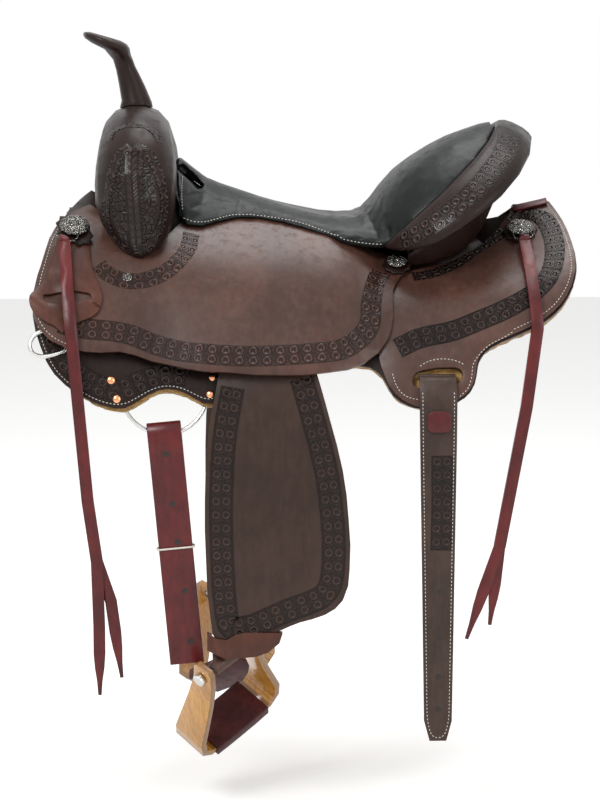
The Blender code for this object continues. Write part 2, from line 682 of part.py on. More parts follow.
# Near side of the roll, tip to middle: inner rim, outer edge, half-thickness
ROLL_STATIONS = (
    ((101, -112, 12), (99, -114, 7), 2.0), ((114, -118, 25), (117, -128, 5), 5.0),
    ((129, -125, 39), (136, -145, 8), 7.5), ((146, -127, 55), (159, -156, 18), 8.5),
    ((167, -122, 74), (183, -159, 33), 9.0), ((188, -109, 94), (209, -153, 51), 9.5),
    ((208, -89, 113), (235, -137, 71), 10.0), ((226, -61, 132), (259, -106, 94), 10.5),
    ((237, -31, 147), (277, -60, 116), 11.0), ((241, 0, 152), (286, 0, 129), 11.0),
)
# The board, tip to middle: bottom and top edges
BOARD_STATIONS = (
    ((126, -100, -12), (126, -112, 2)), ((138, -102, -12), (140, -124, 14)), ((152, -101, -10), (160, -130, 30)),
    ((170, -97, -6), (182, -130, 47)), ((188, -88, 2), (204, -119, 66)), ((203, -75, 12), (225, -100, 86)),
    ((214, -56, 24), (243, -73, 106)), ((221, -30, 34), (256, -40, 121)), ((224, 0, 40), (260, 0, 127)),
)
BOARD_HALF_THICK = 6.0


def mirror_rings(near):
    """Near-side rings, ending on the middle plane, and their reflections, to the off side."""
    return near + [[(x, -y, z) for x, y, z in ring] for ring in near[-2::-1]]


def strip_rings(stations, grow=0.0, count=14, square=2.0, shift=0.0):
    """Rings of flattened oval sections: each runs from a first edge to a second, with a half-thickness.
    The rings are grown all round by grow, and moved off along their thin direction by shift."""
    rings = []
    edges = [(Vector(a), Vector(b)) for a, b, _ in stations]
    for i, (a, b, half) in enumerate(stations):
        ahead, behind = edges[min(i + 1, len(edges) - 1)], edges[max(i - 1, 0)]
        run = (ahead[0] + ahead[1]) - (behind[0] + behind[1])
        if i == len(stations) - 1:
            run = Vector((0, 1, 0))
        wide = Vector(b) - Vector(a)
        thin = run.cross(wide).normalized()
        middle = (Vector(a) + Vector(b)) / 2 + thin * shift
        reach = wide / 2 + wide.normalized() * grow
        ring = []
        for k in range(count):
            angle = 2 * pi * k / count
            c, s = cos(angle), sin(angle)
            c = abs(c) ** (2 / square) * (1 if c >= 0 else -1)
            s = abs(s) ** (2 / square) * (1 if s >= 0 else -1)
            ring.append(tuple(middle + reach * c + thin * (half + grow) * s))
        rings.append(ring)
    return mirror_rings(rings)


board = loft("tree_cantle", strip_rings([(a, b, BOARD_HALF_THICK) for a, b in BOARD_STATIONS], square=4), RAW_WOOD)
cover = loft("cantle_cover", strip_rings(
    [(a + Vector((0, 0, 4)), b, 1.9) for a, b in ((Vector(a), Vector(b)) for a, b in BOARD_STATIONS)],
    square=4, count=12, shift=-(BOARD_HALF_THICK + FIT_GAP + 1.9)), BROWN)
roll = loft("cantle_roll", strip_rings(ROLL_STATIONS, square=2.4), DARK_BROWN)

roll_cutter = as_cutter(loft("roll_cutter", strip_rings(ROLL_STATIONS, FIT_GAP, square=2.4), DARK_BROWN,
                             collection=CUTTERS))
board_cutter = as_cutter(loft("board_cutter", strip_rings(
    [(a, b, BOARD_HALF_THICK) for a, b in BOARD_STATIONS], FIT_GAP, square=4), RAW_WOOD, collection=CUTTERS))
HOUSING_CUT = HOUSING_OUTLINE[:-6] + ((95, 121, "c"), (130, 111), (169, 103), (204, 87), (231, 61), (249, 29))
housing_cutter = as_cutter(bent_panel(
    "housing_cutter", [HOUSING_CUT], -2.0, lambda x, s: housing_height(x, s) + HOUSING_THICK + FIT_GAP, BROWN,
    warp_step=30, collection=CUTTERS))
housing_cutter_off = as_cutter(mirrored("housing_cutter_off", housing_cutter, CUTTERS))


def slot_cutter(name, start, end, width, near, off):
    """A rounded slot through the seat: from start to end (x, z), crossing from y = near to y = off."""
    run = Vector((end[0] - start[0], end[1] - start[1]))
    angle = atan2(run.y, run.x)
    rings = []
    for y in (near, off):
        ring = []
        for k in range(12):
            turn = angle + pi / 2 + 2 * pi * k / 12
            base = start if k <= 6 else end
            ring.append((base[0] + width / 2 * cos(turn), y, base[1] + width / 2 * sin(turn)))
        rings.append(ring)
    return as_cutter(loft(name, rings, BLACK, collection=CUTTERS))


hand_hole = slot_cutter("hand_hole", (-146, 99), (-124, 78), 10, -62, -14)
hand_hole_off = as_cutter(mirrored("hand_hole_off", hand_hole, CUTTERS))

for piece, cutters in (
    (seat, (jockey_cutter, jockey_cutter_off, roll_cutter, board_cutter, hand_hole, hand_hole_off)),
    (ground, (bar_cutter, bar_cutter_off, board_cutter, jockey_cutter, jockey_cutter_off)),
    (board, (bar_cutter, bar_cutter_off, housing_cutter, housing_cutter_off, roll_cutter)),
    (cover, (bar_cutter, bar_cutter_off, housing_cutter, housing_cutter_off, roll_cutter, board_cutter)),
    (roll, (jockey_cutter, jockey_cutter_off)),
):
    for cutter in cutters:
        cut(piece, cutter)


# Wire, straps and turned pieces

def path_frames(points, width_axis=None):
    """A frame at each point of a path: tangent, width and thickness directions."""
    frames = []
    across = Vector(width_axis) if width_axis else None
    for i, point in enumerate(points):
        tangent = (points[min(i + 1, len(points) - 1)] - points[max(i - 1, 0)]).normalized()
        if across is None:
            across = tangent.orthogonal()
        across = (across - tangent * across.dot(tangent)).normalized()
        frames.append((point, tangent, across.copy(), tangent.cross(across)))
    return frames


def tube(name, points, radius, look, closed=False, count=6, collection=MODEL):
    """Round wire along a path of points in mm. A closed path joins its last ring to its first."""
    points = [Vector(p) for p in points]
    total = len(points)
    work = bmesh.new()
    rows = []
    across = None
    for i, point in enumerate(points):
        if closed:
            tangent = (points[(i + 1) % total] - points[i - 1]).normalized()
        else:
            tangent = (points[min(i + 1, total - 1)] - points[max(i - 1, 0)]).normalized()
        if across is None:
            across = tangent.orthogonal()
        across = (across - tangent * across.dot(tangent)).normalized()
        third = tangent.cross(across)
        rows.append([work.verts.new((point + (across * cos(2 * pi * k / count) + third * sin(2 * pi * k / count))
                                     * radius) * MM) for k in range(count)])
    pairs = list(zip(rows, rows[1:])) + ([(rows[-1], rows[0])] if closed else [])
    for row, following in pairs:
        shift = 0
        if closed and row is rows[-1]:
            shift = min(range(count), key=lambda d: (row[0].co - following[d].co).length)
        for k in range(count):
            j = (k + 1) % count
            work.faces.new((row[k], row[j], following[(j + shift) % count], following[(k + shift) % count]))
    if not closed:
        work.faces.new(rows[0][::-1])
        work.faces.new(rows[-1])
    work.normal_update()
    bmesh.ops.recalc_face_normals(work, faces=work.faces)
    bmesh.ops.triangulate(work, faces=work.faces)
    mesh = bpy.data.meshes.new(name)
    work.to_mesh(mesh)
    work.free()
    return finish_object(name, mesh, look, collection=collection)


def strap(name, points, width_axis, widths, thick, look, bevel=0.0):
    """A flat strap along a path of points in mm, with a width for each point."""
    rings = []
    for (point, _, across, normal), width in zip(path_frames([Vector(p) for p in points], width_axis), widths):
        half, deep = width / 2, thick / 2
        corners = ((-half, -deep + bevel), (-half + bevel, -deep), (half - bevel, -deep), (half, -deep + bevel),
                   (half, deep - bevel), (half - bevel, deep), (-half + bevel, deep), (-half, deep - bevel)) \
            if bevel else ((-half, -deep), (half, -deep), (half, deep), (-half, deep))
        rings.append([tuple(point + across * u + normal * v) for u, v in corners])
    return loft(name, rings, look)


def cylinder(name, start, end, radius, look, count=14, collection=MODEL):
    """A plain cylinder between two points in mm."""
    start, end = Vector(start), Vector(end)
    axis = (end - start).normalized()
    u = axis.orthogonal().normalized()
    v = axis.cross(u)
    rings = [[tuple(p + (u * cos(2 * pi * k / count) + v * sin(2 * pi * k / count)) * radius) for k in range(count)]
             for p in (start, end)]
    return loft(name, rings, look, collection=collection)


def lathe(name, rings, frame, look, count=16, scallops=0, depth=0.0, collection=MODEL):
    return loft(name, turned(rings, frame, count, scallops, depth), look, collection=collection)


def unite(target, other):
    """Joins another object into the target as one solid, and removes it."""
    cut(target, other, "UNION")
    bpy.data.objects.remove(other)


def in_mm(place, *where):
    return place(*where) / MM


# Rigging: ring in the skirt, its rivets, and the front dee

RING_X, RING_S, RING_H, RING_RADIUS, RING_WIRE = -165.7, 282.2, -12.0, 51.5, 2.8


def ring_axes():
    """Centre of the rigging ring in mm, and its directions along the saddle, down and outwards."""
    centre = in_mm(on_form, RING_X, RING_S, RING_H)
    along_x = (in_mm(on_form, RING_X + 45, RING_S, RING_H) - in_mm(on_form, RING_X - 45, RING_S, RING_H)).normalized()
    down = (in_mm(on_form, RING_X, RING_S + 45, RING_H) - in_mm(on_form, RING_X, RING_S - 45, RING_H)).normalized()
    outward = along_x.cross(down).normalized()
    if outward.y > 0:
        outward = -outward
    flat = Vector((1.0, 0.0, 0.0))
    flat = (flat - outward * flat.dot(outward)).normalized()
    down = outward.cross(flat)
    if down.z > 0:
        down = -down
    return centre, flat, down, outward


ring_centre, ring_flat, ring_down, ring_outward = ring_axes()


def ring_line(radius, count=24):
    return [ring_centre + (ring_flat * cos(2 * pi * k / count) + ring_down * sin(2 * pi * k / count)) * radius
            for k in range(count)]


ring = tube("rigging_ring_near", ring_line(RING_RADIUS), RING_WIRE, STEEL, closed=True)
cut(fleece, as_cutter(tube("ring_cutter", ring_line(RING_RADIUS), RING_WIRE + 0.7, STEEL, closed=True,
                           collection=CUTTERS)))

DEE_PATH = ((-283, 266), (-299, 277), (-308, 283), (-317, 295), (-323, 309), (-321, 319), (-310, 316),
            (-295, 303), (-281, 290), (-276, 278))
dee = tube("breast_dee_near", [in_mm(on_form, x, s, 3.6) for x, s in DEE_PATH], 3.1, STEEL, closed=True)


# Conchos on their leather rosettes, and the little dees that carry the strings

KEEPER_THICK, ROSETTE_THICK = 3.5, 3.0


def over_jockey(x, s):
    return jockey_face(x, s) + 1.1


def over_keeper(x, s):
    return over_jockey(x, s) + KEEPER_THICK + 0.6


def over_housing(x, s):
    return housing_height(x, s) + HOUSING_THICK + 0.8


def raised(height, by):
    return lambda x, s: height(x, s) + by


keeper = bent_panel("latigo_keeper", [KEEPER_OUTLINE, KEEPER_SLOT], over_jockey, raised(over_jockey, KEEPER_THICK),
                    RUSSET, steps=3, warp_step=30)

# Name, place, rosette radius, concho radius, the face under the rosette
CONCHO_PLACES = (
    ("front", -272, 139, 21.0, 17.0, over_keeper), ("middle", 113, 108, 17.0, 12.0, over_jockey),
    ("rear", 266, 62, 20.5, 16.0, over_housing),
)
CONCHO_RINGS = ((0.42, 0.0), (0.42, 3.1), (0.97, 3.3), (1.0, 4.4), (0.72, 5.8), (0.50, 6.0), (0.30, 7.0))
SMALL_DEE = ((-1.0, 0.0), (-8.4, -1.0), (-9.8, -6.0), (-10.6, -14.0), (-11.6, -21.5), (-10.6, -25.6), (-7.0, -27.0),
             (7.0, -27.0), (10.6, -25.6), (11.6, -21.5), (10.6, -14.0), (9.8, -6.0), (8.4, -1.0), (1.0, 0.0))
DEE_BAR = -27.0


def dee_rise(v):
    """Height of a dee's wire over its concho's seat: low round the post, higher at the bar."""
    return 1.7 + 3.2 * clamp((-v - 14.0) / 9.0)


DEE_WIRE = 1.2


def concho_set(name, x, s, rosette_radius, concho_radius, face):
    """A rosette on a face, and a concho on the rosette with the small dee that its post carries."""
    made = bent_panel(f"rosette_{name}", [scalloped_outline(x, s, rosette_radius, 10)], face,
                      raised(face, ROSETTE_THICK), BROWN, steps=1, warp_step=30)
    frame = surface_frame(raised(face, ROSETTE_THICK), x, s, concho_radius * 0.9, 0.3)
    concho = lathe(f"concho_{name}", [(r * concho_radius, h) for r, h in CONCHO_RINGS], frame, SILVER, 16, 8, 0.035)
    if concho_radius > 15:
        scale = concho_radius / 16.5
        unite(concho, tube("string_dee", [frame @ Vector((u * scale * MM, v * scale * MM, dee_rise(v) * MM)) / MM
                                          for u, v in SMALL_DEE], DEE_WIRE, SILVER))
    return made, concho, frame


rosettes, conchos, concho_frames = [], [], []
for name, *values in CONCHO_PLACES:
    rosette, concho, frame = concho_set(name + "_near", *values)
    rosettes.append(rosette)
    conchos.append(concho)
    concho_frames.append(frame)
# With no keeper under it, the off side's front rosette lies on the jockey
off_rosette, off_concho, _ = concho_set("front_off_pattern", *CONCHO_PLACES[0][1:5], over_jockey)
mirrored("rosette_front_off", off_rosette)
mirrored("concho_front_off", off_concho)
for pattern in (off_rosette, off_concho):
    bpy.data.objects.remove(pattern)

screw = lathe("jockey_screw_near", ((5.6, 0.0), (5.6, 1.2), (4.4, 1.9), (1.6, 1.5)),
              surface_frame(jockey_face, -209, 173, 5.6, 0.3), SILVER, 12)


# Stirrup leather's hanger, fender, stirrup leather and hobble strap

PIVOT_X, PIVOT_S, PIVOT_H = -63.5, 175.0, 14.6
SWING_LEAN = radians(5)
SWING_AXIS = Vector((0.0, -cos(SWING_LEAN), sin(SWING_LEAN)))
STUD_RADIUS = 5.0


def hanger_low(x, s):
    return max(bar_height(x, s), BAR_EDGE_THICK + 0.4) + FIT_GAP


def fender_low(x, s):
    return 8.0 + 17.5 * ease((225.0 - s) / 120.0)


hanger = bent_panel("leather_hanger_near", [(
    (PIVOT_X - 32, 92), (PIVOT_X + 32, 92), (PIVOT_X + 32, 140), (PIVOT_X + 12, 152), (PIVOT_X + 12, 183),
    (PIVOT_X - 12, 183), (PIVOT_X - 12, 152), (PIVOT_X - 32, 140))],
    hanger_low, raised(hanger_low, 4.0), BROWN, steps=1, warp_step=30)
pivot = on_hang(PIVOT_X, PIVOT_S, PIVOT_H)
pivot_slope = slope_at(PIVOT_S, HANG_SLOPE)
pivot_normal = Vector((0.0, -sin(pivot_slope), cos(pivot_slope)))
stud_centre = pivot - SWING_AXIS * ((STUD_RADIUS - 0.2) * MM / SWING_AXIS.dot(pivot_normal))
stud_x = Vector((1.0, 0.0, 0.0))
stud_frame = Matrix((stud_x, pivot_normal.cross(stud_x), pivot_normal)).transposed().to_4x4()
stud_frame.translation = stud_centre
STUD_RINGS = ((5.0, -0.9), (5.0, 0.0), (4.33, 2.5), (3.0, 4.0), (1.4, 4.8))
unite(hanger, lathe("stud", STUD_RINGS, stud_frame, BROWN, 14))

fender = bent_panel("fender_near", [FENDER_OUTLINE], fender_low, raised(fender_low, 4.0), BROWN, on_hang, steps=2)

# Bolt through the foot of the stirrup leather: b along it, d down the stirrup, f from its front to its back
BOLT_CENTRE = Vector((-92.7, -202.7, -472.5))
BOLT_B = Vector((0.724, 0.546, 0.423)).normalized()
BOLT_D = Vector((-0.033, 0.64, -0.768))
BOLT_D = (BOLT_D - BOLT_B * BOLT_D.dot(BOLT_B)).normalized()
BOLT_F = BOLT_B.cross(BOLT_D)


def at_bolt(b, d, f):
    return BOLT_CENTRE + BOLT_B * b + BOLT_D * d + BOLT_F * f


def twisted_ring(centre, across, width, thick, down):
    """A strap's section: its width along across, its thickness square to that and to its run."""
    across = across.normalized()
    normal = across.cross(down).normalized()
    return [tuple(centre + across * u + normal * v)
            for u, v in ((-width / 2, -thick / 2), (width / 2, -thick / 2), (width / 2, thick / 2),
                         (-width / 2, thick / 2))]


ALONG = Vector((1.0, 0.0, 0.0))
LEATHER_STATIONS = ((300, -45, 64), (360, -50, 64), (420, -56, 62), (480, -63, 60), (525, -69, 58), (556, -73, 54))
leather_rings = []
for s, x, width in LEATHER_STATIONS:
    down = in_mm(on_hang, x, s + 5, 5.6) - in_mm(on_hang, x, s - 5, 5.6)
    leather_rings.append(twisted_ring(in_mm(on_hang, x, s, 5.8), ALONG, width, 4.0, down))
middle = Vector((-90.0, -209.0, -457.0))
leather_rings.append(twisted_ring(middle, ALONG.lerp(BOLT_B, 0.5), 44, 4.0, BOLT_CENTRE - Vector((-73, -214, -440))))
leather_rings.append(twisted_ring(at_bolt(0, -5, 0), BOLT_B, 46, 4.0, BOLT_D))
leather_rings.append(twisted_ring(at_bolt(0, 2, 0), BOLT_B, 46, 4.0, BOLT_D))
leather = loft("stirrup_leather_near", leather_rings, BROWN)
unite(leather, cylinder("eye", at_bolt(-25, 0, 0), at_bolt(25, 0, 0), 8.5, BROWN))
cut(leather, as_cutter(cylinder("eye_hole", at_bolt(-60, 0, 0), at_bolt(60, 0, 0), 4.7, BROWN, collection=CUTTERS)))

# A full sleeve round the fender's foot above, open behind the twist of the leather below
HOBBLE_OUTLINE = ((-117, 551), (-106, 558), (-94, 560), (-84, 554), (-72, 551), (-28, 552), (-32, 564), (-45, 575),
                  (-60, 580), (-95, 583), (-117, 572))
hobble = bent_panel("hobble_strap_near", [HOBBLE_OUTLINE], 0.0, 15.4, RUSSET, on_hang, steps=1, warp_step=0)
cut(hobble, as_cutter(bent_panel("hobble_inside", [((-113.6, 530), (-31.6, 530), (-31.6, 600), (-113.6, 600))],
                                 2.4, 12.4, RUSSET, on_hang, steps=1, warp_step=0, collection=CUTTERS)))
cut(hobble, as_cutter(bent_panel("hobble_back", [((-113.6, 555), (-31.6, 555), (-31.6, 600), (-113.6, 600))],
                                 -6.0, 12.4, RUSSET, on_hang, steps=1, warp_step=0, collection=CUTTERS)))


# Stirrup, its bolt and the wrap of its tread

STIRRUP_HALF = ((-38, -20, 20), (-38, -15, 28), (-38, 11, 31), (-44, 40, 36), (-55, 75, 42), (-62, 98, 46),
                (-61, 115, 48), (-49, 126, 48), (-20, 128, 48))
STIRRUP_TILT = radians(3.0)
STIRRUP_PATH = [(b * cos(STIRRUP_TILT) + d * sin(STIRRUP_TILT), d * cos(STIRRUP_TILT) - b * sin(STIRRUP_TILT), depth)
                for b, d, depth in (*STIRRUP_HALF, *((-b, d, depth) for b, d, depth in reversed(STIRRUP_HALF)))]
WOOD_THICK = 8.0


def stirrup_solid(name, stations, thick, grow, look, collection=MODEL):
    """Wood bent along a path in the stirrup's plane, each station giving its place and depth."""
    rings = []
    for i, (b, d, depth) in enumerate(stations):
        before, after = stations[max(i - 1, 0)], stations[min(i + 1, len(stations) - 1)]
        run = Vector((after[0] - before[0], after[1] - before[1])).normalized()
        side = Vector((-run.y, run.x))
        ring = []
        for u, v in ((-1, -1), (1, -1), (1, 1), (-1, 1)):
            place = Vector((b, d)) + side * (u * thick / 2)
            ring.append(tuple(at_bolt(place.x, place.y, v * (depth / 2 + grow))))
        rings.append(ring)
    return loft(name, rings, look, collection=collection)


stirrup = stirrup_solid("stirrup_near", STIRRUP_PATH, WOOD_THICK, 0.0, OAK)
cut(stirrup, as_cutter(cylinder("bolt_hole", at_bolt(-60, 0, 0), at_bolt(60, 0, 0), 4.6, OAK, collection=CUTTERS)))
bolt_frame = Matrix((BOLT_D, BOLT_F, BOLT_B)).transposed().to_4x4()
bolt_frame.translation = BOLT_CENTRE * MM
bolt = lathe("stirrup_bolt_near", ((5.0, -50.0), (8.0, -49.0), (8.0, -43.2), (4.0, -43.2), (4.0, 43.2), (8.0, 43.2),
                                   (8.0, 49.0), (5.0, 50.0)), bolt_frame, STEEL, 12)
cover_path = []
for b, d in ((-43, 126.6), (-20, 128), (20, 128), (43, 126.6)):
    cover_path.append((b * cos(STIRRUP_TILT) + d * sin(STIRRUP_TILT), d * cos(STIRRUP_TILT) - b * sin(STIRRUP_TILT), 48))
tread_cover = stirrup_solid("tread_cover_near", cover_path, 14.0, 3.4, RED)
cut(tread_cover, as_cutter(stirrup_solid("stirrup_grown", STIRRUP_PATH[5:13], WOOD_THICK + 1.0, 0.5, OAK, CUTTERS)))


# Latigo on the near ring, billet on the off ring, and the white tie

LOOP_PROFILE = ((-6, 38), (-8.6, 14), (-9.2, -4), (-7, -12), (0, -15.4), (7, -12), (9.2, -4), (8.6, 14), (6, 38))
LOOP_HOLE = ((-5.8, -3), (-4.4, -9.4), (0, -11.8), (4.4, -9.4), (5.8, -3), (4.6, 4), (0, 6.5), (-4.6, 4))
ring_foot = ring_centre + ring_down * RING_RADIUS


def hung_strap(name, length, width, lean, look):
    """A strap doubled through the rigging ring, its length leaned back from plumb."""
    down = Vector((sin(lean), 0.0, -cos(lean)))
    across = Vector((cos(lean), 0.0, sin(lean)))
    outward = Vector((0.0, -1.0, 0.0))
    profile_line = [*LOOP_PROFILE, (5.4, length), (-5.4, length)]
    return bent_panel(name, [profile_line, LOOP_HOLE], -width / 2, width / 2, look,
                      lambda t, l, w: (ring_foot + outward * t + down * l + across * w) * MM,
                      steps=1, warp_step=0)


LATIGO_LEAN = radians(5.2)
latigo = hung_strap("latigo", 275, 40, LATIGO_LEAN, RED)
tie_down = Vector((sin(LATIGO_LEAN), 0.0, -cos(LATIGO_LEAN)))
tie_across = Vector((cos(LATIGO_LEAN), 0.0, sin(LATIGO_LEAN)))
TIE_CORNERS = ((-20, 7.6), (20, 7.6), (21.8, 5.8), (21.8, -5.8), (20, -7.6), (-20, -7.6), (-21.8, -5.8), (-21.8, 5.8))
tie = tube("latigo_tie", [ring_foot + tie_down * 135 + tie_across * w + Vector((0, -1, 0)) * t
                          for w, t in TIE_CORNERS], 1.2, CORD, closed=True, count=6)


# Saddle strings: knotted on the little dees, draped over the leathers and then hanging plumb

def solid_tree(*solids):
    """One search tree over the faces of several objects."""
    vertices, faces = [], []
    for solid in solids:
        base = len(vertices)
        vertices.extend(vertex.co.copy() for vertex in solid.data.vertices)
        faces.extend([base + index for index in face.vertices] for face in solid.data.polygons)
    return BVHTree.FromPolygons(vertices, faces)


def draped(tree, line, gap, half_width, start_y):
    """Points over (x, z) samples of a line, resting on the tree's faces and never swinging back in."""
    points = []
    out = start_y
    for x, z in line:
        for dx in (-half_width, 0.0, half_width):
            for dz in (-4.0, 4.0):
                hit = tree.ray_cast(Vector(((x + dx) * MM, -0.6, (z + dz) * MM)), Vector((0.0, 1.0, 0.0)), 0.6)[0]
                if hit:
                    out = min(out, hit.y / MM - gap)
        points.append(Vector((x, out, z)))
    return points


def spaced(line, step=18.0):
    """Samples along a line of (x, z) points at about the given step."""
    samples = [line[0]]
    for (x0, z0), (x1, z1) in zip(line, line[1:]):
        count = max(1, round(hypot(x1 - x0, z1 - z0) / step))
        samples.extend((x0 + (x1 - x0) * i / count, z0 + (z1 - z0) * i / count) for i in range(1, count + 1))
    return samples


STRING_WIDTH, STRING_THICK = 14.0, 3.0
FRONT_STRING = ((-276, -62), (-270, -116), (-264, -186), (-256, -281), (-246, -353))
FRONT_TIPS = (((-244, -430), (-244, -513)), ((-230, -401), (-218, -493)))
REAR_STRING = ((279, -66), (274, -83), (262, -177), (247, -264), (232, -343))
REAR_TIPS = (((212, -400), (193, -456)), ((227, -390), (221, -440)))


def string_pair(name, frame, scale, line, tips, tree):
    """The knot on a dee's bar and the two ends hanging from it."""
    bar = frame @ Vector((0.0, DEE_BAR * scale * MM, dee_rise(DEE_BAR) * MM)) / MM
    along_bar = (frame.to_3x3() @ Vector((1.0, 0.0, 0.0))).normalized()
    knot = loft("knot", [[tuple(bar + along_bar * u + (Vector((0, -cos(a), sin(a)))) * r)
                          for a in (2 * pi * k / 12 for k in range(12))]
                         for u, r in ((-6, 3.8), (-2, 4.7), (2, 4.7), (6, 3.8))], RED)
    first = (bar.x, bar.z - 2.6)
    for index, tip in enumerate(tips):
        samples = spaced([first, *line[1:], *tip])
        lift = 2.4 + STRING_THICK / 2 + (STRING_THICK + 0.8) * (1 - index)
        points = draped(tree, samples, lift, STRING_WIDTH / 2, bar.y + 1.2 - (STRING_THICK + 0.8) * (1 - index))
        widths = [STRING_WIDTH * (1 - ease((k - len(points) + 4) / 3.0) * 0.72) for k in range(len(points))]
        unite(knot, strap("strand", points, ALONG, widths, STRING_THICK, RED))
    cut(knot, as_cutter(cylinder("knot_hole", bar - along_bar * 16, bar + along_bar * 16, 1.75, RED, 10, CUTTERS)))
    knot.name = name
    return knot, bar


fork_trim = as_cutter(bent_panel(
    "fork_trim", [JOCKEY_OUTLINE], lambda x, s: jockey_height(x, s) - FIT_GAP, lambda x, s: jockey_height(x, s) + 45,
    RAW_WOOD, warp_step=30, collection=CUTTERS, spread=0.5))
cut(fork, fork_trim)
cut(fork, as_cutter(mirrored("fork_trim_off", fork_trim, CUTTERS)))
bar_trim = as_cutter(bent_panel(
    "bar_trim", [HOUSING_OUTLINE], lambda x, s: housing_height(x, s) - 0.9,
    lambda x, s: housing_height(x, s) + 40, RAW_WOOD, warp_step=30, collection=CUTTERS, spread=0.5))
cut(bar, bar_trim)
cut(keeper, grown(jockey, 0.5))
rosette_cutter = grown(rosettes[1])
cut(board, rosette_cutter)
cut(board, as_cutter(mirrored("rosette_cutter_off", rosette_cutter, CUTTERS)))
middle_cut = as_cutter(loft("middle_cut", [[(x, -0.3, -400), (x, 60, -400), (x, 60, 300), (x, -0.3, 300)]
                                           for x in (-500, 500)], FLEECE, collection=CUTTERS))
for piece in (fleece, skirt):
    cut(piece, middle_cut)

drape_tree = solid_tree(keeper, jockey, skirt, fleece, housing, dee)
front_string, front_bar = string_pair("saddle_string_front_near", concho_frames[0], 17.0 / 16.5, FRONT_STRING,
                                      FRONT_TIPS, drape_tree)
rear_string, rear_bar = string_pair("saddle_string_rear_near", concho_frames[2], 16.0 / 16.5, REAR_STRING,
                                    REAR_TIPS, drape_tree)


# Flank billet through the slot of the rear lobe, its laced square, and the lacing over the ridge

BILLET_X = 155.0
billet_top = [in_mm(on_form, BILLET_X, s, h) for s, h in ((258.5, 0.4), (261.5, 6.2), (266, 9.6), (278, 10.0), (292, 10.0))]
billet_foot = [Vector((BILLET_X + 2 * t, billet_top[-1].y - 1.0, billet_top[-1].z + (-573 - billet_top[-1].z) * t))
               for t in (0.12, 0.4, 0.7, 0.94, 1.0)]
BILLET_WIDTHS = (43, 43, 43, 44, 44, 43, 40, 37, 33, 20)
billet = strap("flank_billet_near", [*billet_top, *billet_foot], ALONG, BILLET_WIDTHS, 5.0, BLACK)
billet_hinge = billet_top[0]
unite(billet, cylinder("billet_roll", billet_hinge - ALONG * 21.5, billet_hinge + ALONG * 21.5, 3.9, BLACK, 12))

lace_z = billet_top[-1].z + (-573 - billet_top[-1].z) * 0.05
lace_y = billet_foot[0].y - 2.5 - 0.5
LACE_SIDE = ((-14, -9), (-9, -12.5), (9, -12.5), (14, -9), (14, 9), (9, 12.5), (-9, 12.5), (-14, 9))


def on_billet(x, z, h):
    """A place h mm out from the billet's face."""
    return Vector((x, lace_y - h, z)) * MM


lace = bent_panel("billet_lace_near", [tuple((BILLET_X + 1 + u, lace_z + v) for u, v in LACE_SIDE)], 0.0, 3.0, RED,
                  on_billet, steps=1, warp_step=0)

LACING_S = 12.0


def lacing_low(x, s):
    return housing_height(x, s) + HOUSING_THICK + 0.8


lacing_rings = []
for x in (263, 270, 277, 284, 291, 298, 305):
    ring_points = []
    for h in (0.0, 3.0):
        row = [in_mm(on_form, x, s, lacing_low(x, s) + h) for s in (12, 6, 0.01)]
        row += [Vector((p.x, -p.y, p.z)) for p in reversed(row[:-1])]
        ring_points.append(row if h == 0.0 else row[::-1])
    lacing_rings.append([tuple(p) for p in ring_points[0] + ring_points[1]])
lacing = loft("skirt_lace", lacing_rings, RED)


# The off side

def hinged(place, *pieces):
    """Put the origin of every moving piece at a point of its joint's axis, with its faces left in place."""
    for piece in pieces:
        piece.data.transform(Matrix.Translation(-place))
        piece.location = place


twins = {source: mirrored(source.name.replace("_near", "_off"), source)
         for source in (fleece, skirt, bar, housing, jockey, ring, dee, screw, hanger, fender, leather, hobble, stirrup,
                        bolt, tread_cover, *rosettes[1:], *conchos[1:])}

for place, group in ((pivot, (fender, leather, hobble, bolt)), (BOLT_CENTRE * MM, (stirrup, tread_cover))):
    hinged(place, *group)
    hinged(Vector((place.x, -place.y, place.z)), *(twins[piece] for piece in group))
hinged(ring_foot * MM, latigo, tie)
hinged(billet_hinge * MM, billet, lace)
hinged(front_bar * MM, front_string)
hinged(rear_bar * MM, rear_string)

for leftover in list(CUTTERS.objects):
    bpy.data.objects.remove(leftover)
bpy.data.collections.remove(CUTTERS)
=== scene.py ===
"""A western trail saddle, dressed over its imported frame.

The frame gives every solid piece. The classes here round the leather, pad the seat, tool the borders, sew the
stitches and give each finish its shader. Lengths in class fields are millimetres, unless a name says otherwise.
"""

from __future__ import annotations

import heapq
import json
import logging
from dataclasses import dataclass, field
from enum import Enum
from math import atan2, ceil, cos, pi, radians, sin

import bmesh
import bpy
from mathutils import Matrix, Vector, noise
from mathutils.bvhtree import BVHTree

